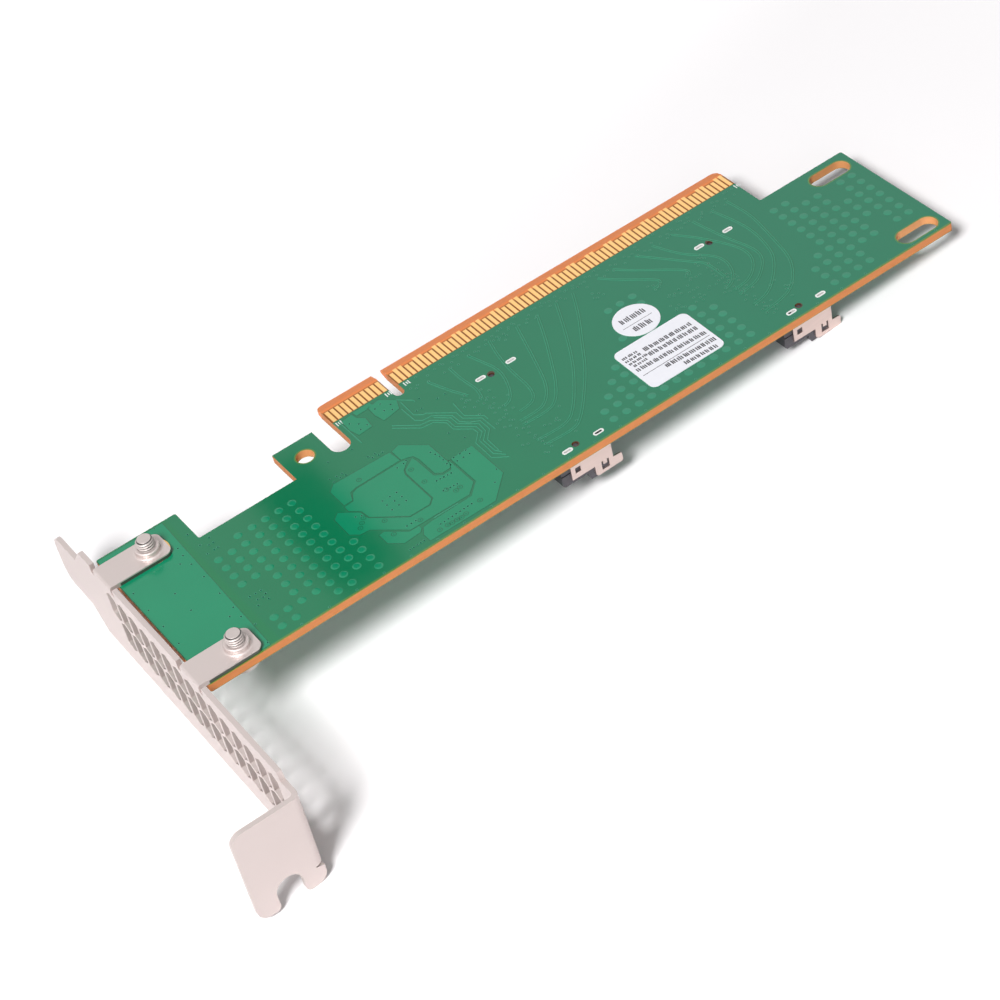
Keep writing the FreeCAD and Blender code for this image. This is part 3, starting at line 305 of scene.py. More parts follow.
def finish_board():
    """Coated faces, cut edges of bare laminate with a lip of coating, and the bare tongue."""
    finish = coated("green_coating_and_laminate", coat_deep)
    green = Tone(finish, finish.shader.inputs["Base Color"].links[0].from_socket)
    along, across, height = finish.place()

    # the coating: bluer to the far end, yellower at the bracket, thin around the openings and the lower edge
    green = finish.mix(along.rise(-40.0, 60.0) * 0.5, green, (0.004, 0.185, 0.108))
    green = finish.mix((1.0 - along.rise(-44.6, -43.6)) * 0.5, green, (0.002, 0.180, 0.055))
    at_opening = 0.0
    for x, y, half_run, radius in openings:
        out = (abs(along - x) - half_run).most(0.0)
        away = (out * out + (across - y) ** 2.0) ** 0.5
        at_opening = (1.0 - away.rise(radius + 0.05, radius + 0.35)).most(at_opening)
    thin_coat = at_opening.most(1.0 - across.rise(lower_edge, lower_edge + 0.4))
    green = finish.mix(thin_coat * 0.75, green, coat_thin)

    # the cut edges: glass layers, the lip of coating, painted light on the walls of the openings, painted shade
    # in and around the peg holes
    edge = 1.0 - abs(height).rise(board_face - 0.03, board_face - 0.012)
    layers = finish.grain(0.5, 2.0, (0.15, 0.15, 2.5))
    cut = finish.mix(layers, (0.49, 0.155, 0.036), (0.64, 0.23, 0.064))
    lip = abs(height).rise(board_face - 0.16, board_face - 0.06)
    cut = finish.mix(lip * 0.75, cut, (0.26, 0.20, 0.02))
    # painted light: the walls of the openings are made paler, as if the lamp lit them
    cut = finish.mix(at_opening * 0.6, cut, (0.78, 0.40, 0.17))
    peg_along = abs(abs(along - peg_middle[0]) - peg_reach[0])
    peg_across = abs(abs(across - peg_middle[1]) - peg_reach[1])
    from_peg = (peg_along ** 2.0 + peg_across ** 2.0) ** 0.5
    # painted shade: the coating at the peg holes' rims and their walls are darkened
    painted_peg_shade = 1.0 - from_peg.rise(peg_hole, peg_hole + 0.16)
    green = finish.mix(painted_peg_shade, green, (0.060, 0.030, 0.012))
    cut = finish.mix(painted_peg_shade, cut, (0.075, 0.026, 0.010))

    # the bare tongue: pale at its tip, dark between the pads
    from_left = along.rise(tongue_left - 0.02, tongue_left)
    in_tongue = from_left * (1.0 - along.rise(tongue_right, tongue_right + 0.02))
    bare = across.rise(tongue_coat - 0.02, tongue_coat + 0.02) * in_tongue
    between_pads = 1.0 - across.rise(pad_outer - 0.5, pad_outer + 0.1)
    wall = edge * (1.0 - across.rise(tongue_tip, tongue_tip + 0.1) * in_tongue)
    tip = finish.mix(finish.grain(0.4, 3.0), (0.72, 0.21, 0.058), (0.83, 0.27, 0.085))
    bare_colour = finish.mix(between_pads, tip, (0.22, 0.062, 0.006))

    colour = finish.mix(bare, green, bare_colour)
    colour = finish.mix(wall, colour, cut)
    rough = finish.grain(3.0) * 0.06 + coat_rough + wall.most(bare) * 0.38
    return finish.set(Base_Color=colour, Roughness=rough)


def dress(node, material):
    """Give a node of the frame its finish."""
    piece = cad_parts[node]
    piece.data.materials.clear()
    piece.data.materials.append(material)


dress("circuit_board", finish_board())

# Copper under the coating. The top copper is etched, then coated over, so every pour, dot and track stands
# up by a few hundredths of a millimetre and looks a lighter green.
copper_rise = 0.035
groove_wide = 0.26
copper_material = coated("coating_over_copper", coat_over_copper).material
island_material = coated("coating_over_islands", (0.018, 0.238, 0.132)).material
# the dark grooves along the pours and around the test points are painted shade
groove_shade_material = coated("painted_groove_shade", (0.002, 0.105, 0.045)).set(Roughness=0.5)


def join_parts(parts):
    """One array and one list from many: each part's corner numbers grow by the points that come before it."""
    points = np.concatenate([part[0] for part in parts])
    starts = np.cumsum([0] + [len(part[0]) for part in parts[:-1]])
    faces = [np.asarray(face) + start for part, start in zip(parts, starts) for face in part[1]]
    return points, faces


def plate_part(outline, low, high):
    """A flat plate: the outline filled at the height high, with upright sides down to low."""
    corners = np.asarray(outline, float)
    count = len(corners)
    area = np.sum(corners[:, 0] * np.roll(corners[:, 1], -1) - np.roll(corners[:, 0], -1) * corners[:, 1])
    corners = corners if area > 0 else corners[::-1]
    top = np.column_stack([corners, np.full(count, high)])
    base = np.column_stack([corners, np.full(count, low)])
    fill = tessellate_polygon([[Vector(corner) for corner in top]])
    faces = [list(face) for face in fill]
    for face in faces:
        first, second, third = top[face]
        if np.cross(second - first, third - first)[2] < 0:
            face.reverse()
    around = np.arange(count)
    ahead = (around + 1) % count
    sides = np.stack([around + count, ahead + count, ahead, around], axis=-1)
    return np.concatenate([top, base]), faces + list(sides)


def dot_part(places, radius, rise, sides=14):
    """Low domes: at each place rings at 2, 55, 86 and 100 % of the radius, each lower than the one inside."""
    shares = np.array([0.02, 0.55, 0.86, 1.0])
    heights = np.array([1.0, 0.97, 0.75, 0.0]) * rise
    angles = np.arange(sides) / sides * 2 * math.pi
    ring_x = np.outer(shares, np.cos(angles)) * radius
    ring_y = np.outer(shares, np.sin(angles)) * radius
    ring_z = np.repeat(heights[:, None], sides, axis=1)
    dome = np.stack([ring_x, ring_y, ring_z], axis=-1).reshape(-1, 3)
    faces = list(grid_faces(len(shares), sides, closed=True)[:, ::-1]) + [np.arange(sides)]
    return join_parts([(dome + np.array([x, y, board_face]), faces) for x, y in places])


def rounded(points, passes=2):
    """Corner cutting: each pass keeps points a quarter and three quarters along every straight run."""
    line = np.asarray(points, float)
    for _ in range(passes):
        near = line[:-1] * 0.75 + line[1:] * 0.25
        far = line[:-1] * 0.25 + line[1:] * 0.75
        middle = np.stack([near, far], axis=1).reshape(-1, 2)
        line = np.concatenate([line[:1], middle[1:-1], line[-1:]])
    return line


def beside(line, shift):
    """The line moved sideways by shift, along the mean normal of the runs that meet at each point."""
    runs = np.diff(line, axis=0)
    runs = runs / np.linalg.norm(runs, axis=1)[:, None]
    headings = np.concatenate([runs[:1], runs[:-1] + runs[1:], runs[-1:]])
    headings = headings / np.linalg.norm(headings, axis=1)[:, None]
    normals = np.stack([-headings[:, 1], headings[:, 0]], axis=-1)
    return line + normals * shift


def track_part(line, width, rise):
    """A track: a trapezium of four points (share of the width, share of the rise) carried along the line."""
    profile = ((-0.5, 0.0), (-0.36, 1.0), (0.36, 1.0), (0.5, 0.0))
    rows = []
    for share, level in profile:
        height = np.full(len(line), board_face + level * rise)
        rows.append(np.column_stack([beside(line, share * width), height]))
    points = np.stack(rows, axis=1).reshape(-1, 3)
    return points, list(grid_faces(len(line), len(profile))[:, ::-1])


pours = {
    "inlet": [(-9.2, -18.7), (-9.0, -21.5), (-17.6, -21.6), (-18.9, -21.9), (-19.2, -22.6), (-19.6, -23.7),
              (-21.2, -23.7), (-21.2, -19.5), (-19.9, -18.3)],
    "middle": [(-9.1, -21.9), (-17.6, -21.95), (-18.6, -22.3), (-19.1, -23.1), (-19.6, -24.0), (-21.4, -24.1),
               (-21.4, -25.3), (-19.9, -26.9), (-19.7, -28.9), (-14.9, -33.45), (-11.2, -33.5),
               (-10.25, -32.6), (-10.25, -25.0), (-9.9, -24.0), (-7.9, -22.2)],
    "crown": [(-8.8, -18.8), (-7.2, -18.3), (-3.6, -22.0), (-3.6, -28.5), (-4.3, -29.0), (-5.6, -29.0),
              (-6.6, -28.2), (-6.6, -23.6), (-6.9, -22.3), (-7.7, -21.9), (-8.8, -21.6)],
    "outlet": [(-3.3, -27.3), (-3.3, -34.4), (-5.4, -36.3), (-12.6, -36.2), (-16.5, -36.1), (-21.2, -31.4),
               (-22.9, -31.2), (-24.2, -29.9), (-24.1, -25.4), (-22.9, -24.4), (-21.7, -25.5), (-20.2, -27.0),
               (-19.95, -29.0), (-15.0, -33.75), (-11.1, -33.8), (-9.95, -32.7), (-9.95, -25.1),
               (-9.6, -24.1), (-7.3, -22.5), (-7.1, -23.6), (-7.0, -28.5), (-5.8, -29.5), (-4.2, -29.4)],
    "ground": [(-2.9, -27.3), (1.3, -27.2), (1.3, -36.1), (-3.2, -40.5), (-15.6, -40.4), (-15.6, -38.5),
               (-14.7, -37.1), (-12.9, -36.9), (-5.3, -36.8), (-2.9, -34.5)],
    "return": [(-20.8, -33.5), (-19.8, -33.4), (-16.9, -36.3), (-15.1, -36.4), (-15.1, -37.1), (-15.7, -37.7),
               (-18.8, -37.9), (-20.8, -36.0)],
    "first_pin": [(-10.9, -6.6), (-8.7, -6.3), (-8.6, -7.6), (-7.5, -8.8), (-7.8, -11.3), (-10.5, -11.5),
                  (-11.0, -9.5)],
    "second_pin": [(-5.9, -7.0), (-3.5, -6.6), (-1.4, -8.9), (-2.2, -11.0), (-5.6, -11.6), (-6.0, -9.5)],
    "pin_strip": [(-8.4, -6.1), (-5.0, -6.1), (-4.9, -6.8), (-6.3, -7.2), (-8.3, -7.2)],
    "bracket_strip": [(-57.0, -5.4), (-44.9, -5.4), (-45.8, -41.2), (-57.0, -41.2)],
}


def make_pours():
    """Each pour: its outline filled at the copper's height, and a low dark ridge of painted groove shade along
    it.
    """
    top = board_face + copper_rise
    plates = [plate_part(outline, board_face - 0.001, top) for outline in pours.values()]
    loops = [np.array(outline + outline[:1], float) for outline in pours.values()]
    ridges = [track_part(loop, groove_wide, copper_rise * 0.5) for loop in loops]
    for name, parts, material in (("copper_pours", plates, copper_material),
                                  ("pour_grooves", ridges, groove_shade_material)):
        made = link_mesh(name, *join_parts(parts))
        made.data.materials.append(material)
        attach(made, "root")


make_pours()

# Balancing dots. Rows of round copper islands, about a tenth of an inch apart, fill the places without
# tracks so that the plating comes out even. Each row is given by its first dot and its number of dots.
dot_step = 2.46
dot_radius = 0.74
dot_rows = {
    (-27.05, -16.97): 9, (-29.55, -16.97): 10, (-32.08, -16.97): 10, (-34.62, -16.97): 9,
    (-37.28, -16.97): 9, (-39.83, -19.42): 4, (-42.37, -19.42): 4, (-24.5, -31.7): 4, (-39.83, -36.63): 2,
    (-42.37, -36.63): 2, (66.93, -34.07): 3, (69.45, -31.62): 4, (72.0, -16.78): 10, (74.55, -16.78): 10,
    (77.08, -19.25): 7, (79.62, -19.3): 7, (82.2, -24.25): 3, (84.7, -19.3): 7, (87.2, -19.3): 7,
    (41.5, -16.8): 2, (38.96, -16.8): 1, (36.45, -16.8): 1, (33.95, -24.25): 1, (46.7, -26.63): 6,
    (49.25, -29.07): 5, (44.15, -38.92): 1, (41.55, -38.92): 1, (38.95, -38.92): 1, (36.4, -38.92): 1,
    (33.95, -38.92): 1, (31.4, -38.92): 1, (28.83, -29.13): 5, (26.3, -31.57): 4, (23.8, -34.0): 3,
    (21.23, -36.45): 2,
}


def make_dots():
    """Each row's dots go down the board by one dot step. Those right of the origin are a little lighter."""
    for name, side, material in (("left_dots", -1.0, copper_material), ("right_dots", 1.0, island_material)):
        places = [(x, y - dot_step * step) for (x, y), count in dot_rows.items() if x * side > 0
                  for step in range(count)]
        piece = link_mesh(name, *dot_part(places, dot_radius, copper_rise), smooth=True)
        piece.data.materials.append(material)
        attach(piece, "root")


make_dots()

# Signal tracks. Etched from the same copper. Each pair runs from a contact, past the socket's solder slots,
# and curls back to the socket's contacts; a bundle of slower tracks runs beside the pours.
track_wide = 0.13
slow_share = 1.3
pair_gap = 0.36
flank_wide = 0.22
flank_shift = 0.09
flank_rise = 0.006
pairs = [
    [(35.0, -8.6), (32.3, -14.1), (28.1, -20.9), (25.3, -25.6), (20.7, -31.4), (17.8, -34.6), (15.6, -36.2),
     (10.3, -35.8)],
    [(31.5, -8.6), (28.7, -14.9), (25.5, -21.4), (22.7, -26.0), (18.5, -31.7), (15.4, -34.4), (9.5, -33.9)],
    [(27.5, -8.6), (25.1, -14.4), (21.5, -21.6), (19.7, -25.0), (17.3, -28.4), (15.0, -29.6), (10.0, -29.3)],
    [(23.3, -8.6), (21.4, -14.9), (19.1, -22.2), (17.8, -25.1), (16.1, -27.2), (14.3, -28.3), (10.2, -28.2)],
    [(18.0, -8.0), (16.9, -12.0), (16.2, -17.0), (16.1, -23.3), (14.6, -26.0), (11.5, -26.3)],
    [(13.3, -8.5), (13.9, -10.9), (15.0, -15.0), (14.3, -18.6), (12.4, -22.7), (10.4, -23.4)],
    [(9.3, -8.8), (9.2, -12.7), (9.7, -16.7), (8.8, -19.5)],
    [(4.8, -9.0), (6.3, -13.6), (7.7, -16.8)],
    [(40.3, -8.6), (42.4, -11.5), (46.8, -16.0), (47.3, -17.2), (46.3, -17.9), (45.1, -17.9)],
    [(43.5, -8.6), (45.2, -10.9), (51.6, -17.4), (52.2, -18.9), (51.3, -19.6)],
    [(48.3, -8.6), (52.1, -14.3), (54.2, -17.3), (55.6, -19.3), (55.4, -24.4)],
    [(51.9, -8.6), (54.0, -14.4), (57.2, -17.9), (58.2, -20.9), (57.2, -24.3), (55.4, -26.4), (53.4, -26.9)],
    [(55.9, -8.6), (58.5, -12.4), (61.6, -19.0), (62.1, -22.6), (60.6, -25.7), (57.6, -28.0), (54.3, -28.2)],
    [(60.7, -8.6), (61.8, -16.1), (63.4, -22.1), (62.9, -25.0), (61.0, -27.3), (58.3, -29.3), (54.2, -29.8)],
    [(64.7, -8.6), (66.4, -17.1), (65.2, -24.3), (63.4, -27.7), (59.7, -31.5), (57.2, -33.1), (54.2, -33.6)],
    [(68.1, -8.6), (68.7, -14.5), (67.3, -22.1), (66.1, -28.2), (64.0, -31.8), (61.0, -34.9), (57.8, -35.9),
     (54.5, -36.2)],
]
slow_tracks = [
    [(-1.2, -9.9), (-1.35, -14.0), (-0.3, -15.1), (0.4, -15.25), (3.95, -18.8), (3.95, -20.7), (6.25, -23.0),
     (6.3, -26.8)],
    [(-2.0, -11.4), (-1.95, -15.3), (-1.0, -16.3), (0.6, -16.4), (3.1, -18.9), (3.15, -21.0), (4.2, -22.3),
     (5.65, -23.25), (5.65, -26.05), (3.95, -27.9), (3.85, -31.3)],
    [(0.65, -17.05), (2.65, -19.25), (2.65, -21.15), (3.95, -22.6), (5.1, -23.7), (4.9, -25.95),
     (3.35, -27.6), (3.35, -30.8), (4.0, -32.0)],
    [(-5.35, -13.6), (-2.0, -16.9), (-0.1, -17.2), (1.9, -19.3), (1.95, -21.5), (4.4, -24.0), (4.4, -25.75),
     (2.9, -27.15), (2.75, -31.25), (4.1, -32.95)],
    [(-5.7, -14.1), (-2.2, -17.65), (0.0, -18.0), (1.45, -19.65), (1.4, -21.75), (3.7, -24.1), (3.8, -25.4),
     (2.15, -27.15), (2.0, -31.9), (4.15, -33.75)],
    [(4.85, -16.55), (4.5, -20.35), (6.85, -22.8), (6.85, -23.95)],
    [(-1.4, -8.8), (0.6, -11.0), (0.6, -11.6)],
    [(-11.2, -6.4), (-11.2, -13.4)],
    [(-12.45, -36.55), (-7.75, -36.6)],
]


def make_tracks(name, rise, width, shift, material):
    """One ridge on each slow run, and two on each pair, half the gap to either side of its rounded line."""
    parts = [track_part(beside(np.array(run), shift), width * slow_share, rise) for run in slow_tracks]
    for run in pairs:
        line = rounded(run, 3)
        parts += [track_part(beside(line, side * pair_gap / 2 + shift), width, rise) for side in (-1, 1)]
    piece = link_mesh(name, *join_parts(parts))
    piece.data.materials.append(material)
    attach(piece, "root")


# the flanks are painted shade on the tracks' lower side
make_tracks("signal_tracks", copper_rise, track_wide, 0.0,
            coated("coating_over_tracks", (0.020, 0.27, 0.150)).material)
make_tracks("track_flanks", flank_rise, flank_wide, flank_shift,
            coated("painted_shade_beside_tracks", (0.002, 0.145, 0.064)).material)

# Plated holes. Drilled through all layers and coated over: each shows as a fine light rim with a dark middle,
# scattered along the contacts, around the sockets' contacts and over the pours.
hole_radius = 0.16
hole_rim = 0.24
hole_gap = 2.1 * hole_rim
hole_rise = copper_rise + 0.006
hole_raster = 0.4
point_outer = 0.47
point_inner = 0.36
point_hole = 0.10
point_rise = copper_rise + 0.004


def cluster(rng, centre, spread, count):
    """Places scattered about a centre with a normal spread, snapped to the raster."""
    raw = rng.normal(0.0, 1.0, (count, 2)) * np.asarray(spread) + np.asarray(centre)
    return np.unique(np.round(raw / hole_raster) * hole_raster, axis=0)


# start, end and step of the rows along the contacts, at the sockets and along the lower edge
band_along = (2.0, 71.0, 0.55)
band_across = (-9.4, -6.3)
socket_middles = (11.5, 57.2)
socket_across = (-37.6, -16.8, 1.2)
edge_along = (-40.0, 88.0, 5.08)
edge_across = -41.05
bundle_ends = (
    (46.0, -17.8), (46.9, -22.0), (45.3, -24.4), (49.0, -25.5), (51.4, -19.8), (49.6, -22.4), (53.8, -25.0),
    (53.8, -28.6), (55.6, -26.0), (38.1, -12.5), (7.0, -17.8), (8.8, -20.6), (20.0, -8.5),
)


def hole_places():
    """A jittered band by the contacts, clusters at sockets and bundles' ends, and a row along the edge."""
    rng = np.random.default_rng(11)
    along = np.arange(*band_along)
    jitter = rng.uniform(-0.25, 0.25, len(along))
    groups = [np.column_stack([along + jitter, rng.uniform(*band_across, len(along))])]
    for socket in socket_middles:
        for row in np.arange(*socket_across):
            groups.append(cluster(rng, (socket - 2.2, row), (1.1, 0.4), 3))
        groups.append(cluster(rng, (socket + 3.4, -33.0), (1.2, 1.6), 9))
    for centre in bundle_ends:
        groups.append(cluster(rng, centre, (0.8, 0.7), 7))
    along = np.arange(*edge_along)
    groups.append(np.column_stack([along, np.full(len(along), edge_across)]))
    return np.concatenate(groups)


pour_holes = [
    (-14.8, -27.4), (-13.5, -27.4), (-13.4, -28.8), (-14.8, -28.8), (-16.2, -27.4), (-13.4, -30.1),
    (-14.8, -30.1), (-16.2, -28.7), (-16.2, -30.2), (-2.4, -27.4), (-1.2, -27.4), (0.0, -27.4),
    (-1.2, -28.5), (0.0, -28.5), (-2.4, -28.5), (1.0, -34.7), (-0.9, -37.0), (-4.4, -23.6), (-4.1, -24.6),
    (-3.9, -25.5), (-3.9, -26.6), (-4.0, -27.8), (-8.3, -22.3), (-9.0, -22.6), (-10.3, -22.7),
    (-10.2, -8.0), (-9.1, -9.2), (-8.2, -10.4), (-9.6, -10.6), (-5.2, -8.1), (-3.9, -7.7), (-2.7, -9.1),
    (-4.3, -9.6), (-3.2, -10.4), (-56.2, -16.0), (-56.2, -21.0), (-56.2, -25.8), (-56.2, -30.7),
    (-46.5, -5.6), (-45.9, -12.4), (-46.1, -14.4), (-47.4, -15.8), (-46.1, -17.1), (-46.0, -21.0),
    (-51.3, -20.9), (-46.0, -26.0), (-51.2, -25.9), (-47.4, -31.5), (-46.0, -30.2), (-46.1, -32.8),
    (-45.3, -35.8), (-45.9, -40.5), (-43.2, -10.8), (-42.9, -14.4), (-40.9, -13.9), (-43.0, -17.0),
    (-41.0, -15.4), (-41.0, -16.9), (-41.8, -15.4), (-41.7, -16.9), (-42.9, -30.1), (-41.9, -30.2),
    (-40.9, -30.2), (-40.7, -31.3), (-40.9, -32.6), (-42.3, -31.5), (-41.4, -31.7), (-42.9, -32.7),
    (-19.7, -16.8), (-19.5, -17.9), (-18.5, -17.1), (-18.2, -17.8), (-17.5, -17.2), (-17.2, -17.9),
    (-12.3, -17.0), (-11.9, -17.7), (-11.1, -17.2), (-10.8, -17.9), (-10.0, -17.8), (3.7, -13.6),
    (0.5, -13.7), (-0.5, -13.6), (0.3, -22.0), (1.6, -24.8), (1.5, -11.4), (5.2, -13.6), (-17.7, -13.2),
    (-13.2, -13.5),
]
# rows of holes in the pours: first hole, last hole, how many
hole_lines = (
    ((-21.3, -27.3), (-20.0, -28.0), 4), ((-7.9, -32.6), (-5.4, -32.9), 5),
    ((-12.4, -38.5), (-6.3, -38.3), 9), ((-7.4, -29.9), (-4.7, -30.1), 5),
    ((-16.5, -35.0), (-14.8, -35.0), 3), ((-19.0, -39.75), (-16.3, -39.65), 5),
)
hole_rows = np.concatenate([np.linspace(start, end, count) for start, end, count in hole_lines])


def apart(places, gap):
    """Leaves out each place that is nearer than the gap to one that is kept before it."""
    kept = []
    for place in places:
        if all(np.hypot(*(place - other)) > gap for other in kept):
            kept.append(place)
    return np.array(kept)


def make_holes(name, places, outer, inner, rise, material, sides=10):
    """Flat rings, or discs where inner is 0: at each place two circles of the outer and the inner radius."""
    angles = np.arange(sides) / sides * 2 * math.pi
    circle = np.column_stack([np.cos(angles), np.sin(angles)])
    parts = []
    for place in places:
        ring = np.concatenate([circle * outer + place, circle * max(inner, 0.01) + place])
        points = np.column_stack([ring, np.full(2 * sides, board_face + rise)])
        parts.append((points, list(grid_faces(2, sides, closed=True)[:, ::-1])))
    piece = link_mesh(name, *join_parts(parts))
    piece.data.materials.append(material)
    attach(piece, "root")


def finish_hole_middle():
    finish = Finish("dark_plated_hole")
    tone = finish.mix(finish.grain(0.7), (0.003, 0.045, 0.026), (0.008, 0.075, 0.042))
    return finish.set(Base_Color=tone, Roughness=0.8, IOR=1.2)


test_points = [
    (-16.3, -20.5), (-8.9, -24.7), (-8.9, -28.6), (-7.4, -32.7), (-4.9, -38.6), (-14.2, -35.4),
    (-13.2, -39.5), (-8.2, -39.5), (-19.0, -35.0), (-18.4, -31.4), (-11.7, -39.5), (-10.9, -39.6),
    (-10.0, -39.6), (-9.2, -39.7), (-22.1, -30.0), (-21.3, -29.2), (-20.5, -28.4), (-6.4, -34.0),
    (-5.5, -33.8),
]
copper_holes = apart(np.concatenate([np.array(pour_holes), hole_rows]), hole_gap)
all_holes = apart(np.concatenate([copper_holes, hole_places()]), hole_gap)
filled_holes = all_holes[len(copper_holes):]
make_holes("plated_hole_rims", all_holes, hole_rim, hole_radius, hole_rise,
           coated("coating_on_rims", (0.050, 0.32, 0.19)).material)
make_holes("plated_hole_middles", copper_holes, hole_radius, 0.0, hole_rise, finish_hole_middle())
make_holes("filled_hole_middles", filled_holes, hole_radius, 0.0, hole_rise,
           coated("coating_in_holes", (0.002, 0.110, 0.055)).material)
# the rings around the test points are painted groove shade
make_holes("test_point_rings", test_points, point_outer, point_inner, point_rise, groove_shade_material)
make_holes("test_point_middles", test_points, point_hole, 0.0, point_rise, finish_hole_middle())

# Edge contacts. Copper fingers plated with nickel and hard gold, on both faces of the tongue. The same gold
# covers the round land under the upper ear, of which a crescent shows past the ear's end.
land_place = (-49.5, -10.05)
land_outer = 3.1
land_inner = 2.4


def finish_gold():
    finish = Finish("hard_gold")
    streak = finish.grain(0.9, 3.0, (1.0, 0.25, 1.0))
    tone = finish.mix(streak, (0.98, 0.58, 0.20), (1.0, 0.68, 0.30))
    fine = finish.bump(finish.grain(0.12, 2.0, (1.0, 0.1, 1.0)), 0.12, 0.004)
    return finish.set(Base_Color=tone, Metallic=0.8, Roughness=0.36, Normal=fine)


for side in ("solder_side_contacts", "component_side_contacts"):
    dress(side, finish_gold())
make_holes("screw_land", [land_place], land_outer, land_inner, hole_rise, finish_gold(), 48)

# Pin marks. Short strokes of white ink, screen printed on the coating beside the first and the last contact
# of each run, in place of the numbers.
mark_spots = ((-11.5, -6.6), (-1.7, -6.6), (2.0, -6.6), (71.9, -6.6))
mark_strokes = ((-0.35, 1.0), (0.1, 0.7), (0.5, 1.0))
mark_wide = 0.2
mark_rise = 0.02


def bar_part(x, y, wide, high, base, top):
    """An upright bar on the board: a rectangle from its lower left corner, from the height base to top."""
    return plate_part([(x, y), (x + wide, y), (x + wide, y + high), (x, y + high)], base, top)


def make_pin_marks():
    """At each spot one bar for each stroke (shift along, height), centred on the spot's line."""
    parts = [bar_part(x + shift, y - tall / 2, mark_wide, tall, board_face, board_face + mark_rise)
             for x, y in mark_spots for shift, tall in mark_strokes]
    piece = link_mesh("pin_marks", *join_parts(parts))
    finish = Finish("white_ink")
    tone = finish.mix(finish.grain(0.3, 3.0), (0.62, 0.70, 0.66), (0.88, 0.90, 0.88))
    piece.data.materials.append(finish.set(Base_Color=tone, Roughness=0.55))
    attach(piece, "root")


make_pin_marks()

# Bracket. One blank of steel, punched, folded and nickel plated to a soft satin. Its ears lie on the board's
# edge, and its tab takes the screw of the machine's frame.
plate_faces = (-58.76, -57.90)
vents_across = (-66.0, -10.5)
vents_high = (-16.5, -1.6)
ears_from = -56.9
ear_sides = (0.7, 1.35)


def finish_bracket():
    """Satin nickel, with painted shade on the vents' cut walls and on the ears' sheared sides."""
    finish = Finish("satin_nickel")
    cloud = finish.grain(14.0, 3.0)
    fine = finish.grain(0.25, 3.0)
    tone = finish.mix(cloud, (0.575, 0.50, 0.48), (0.625, 0.545, 0.525))
    along, across, height = finish.place()
    in_sheet = along.rise(plate_faces[0] + 0.03, plate_faces[0] + 0.12)
    in_sheet = in_sheet * (1.0 - along.rise(plate_faces[1] - 0.06, plate_faces[1] - 0.02))
    in_vents = across.rise(vents_across[0], vents_across[0] + 0.5)
    in_vents = in_vents * (1.0 - across.rise(vents_across[1] - 0.5, vents_across[1]))
    in_vents = in_vents * (1.0 - height.rise(vents_high[1] - 0.3, vents_high[1]))
    in_vents = in_vents * height.rise(vents_high[0], vents_high[0] + 0.5)
    # painted shade on the cut walls of the vents
    tone = finish.mix(in_sheet * in_vents * 0.28, tone, (0.16, 0.115, 0.10))
    # painted shade, dark green, on the ears' sheared sides
    sheared = along.rise(ears_from, ears_from + 0.2)
    sheared = sheared * (1.0 - height.rise(ear_sides[1], ear_sides[1] + 0.15))
    sheared = sheared * height.rise(ear_sides[0], ear_sides[0] + 0.05)
    tone = finish.mix(sheared * 0.9, tone, (0.025, 0.050, 0.032))
    rough = fine * 0.10 + 0.38
    pores = finish.bump(fine, 0.16, 0.006)
    return finish.set(Base_Color=tone, Metallic=0.6, Roughness=rough, Normal=pores)


dress("bracket", finish_bracket())

# Bracket screws. Pan heads under the board; the rolled threads come up through the ears' drawn collars. The
# heads stay as they are, and the plain shank above the collar's foot gets its thread.
screw_places = ((-49.95, -10.2), (-49.95, -38.45))
thread_pitch = 0.5
thread_outer = 1.5
thread_depth = 0.30
thread_from = 1.9
screw_end = 4.445
end_radius = 1.12


def thread_part(place):
    """radius = outer - depth times a triangle wave of (height / pitch - turn), with a chamfer at the end."""
    around, levels = 40, 56
    angles = np.arange(around) / around * 2 * math.pi
    heights = np.linspace(thread_from, screw_end, levels)
    phase = heights[:, None] / thread_pitch - angles[None, :] / (2 * math.pi)
    wave = np.abs((phase % 1.0) * 2.0 - 1.0)
    radius = thread_outer - thread_depth * np.clip(wave * 1.4 - 0.2, 0.0, 1.0)
    radius = np.minimum(radius, end_radius + (screw_end - heights)[:, None])
    x = place[0] + radius * np.cos(angles)
    y = place[1] + radius * np.sin(angles)
    z = np.repeat(heights[:, None], around, axis=1)
    points = np.stack([x, y, z], axis=-1).reshape(-1, 3)
    faces = list(grid_faces(levels, around, closed=True))
    faces.append(np.arange(around) + (levels - 1) * around)
    return points, faces


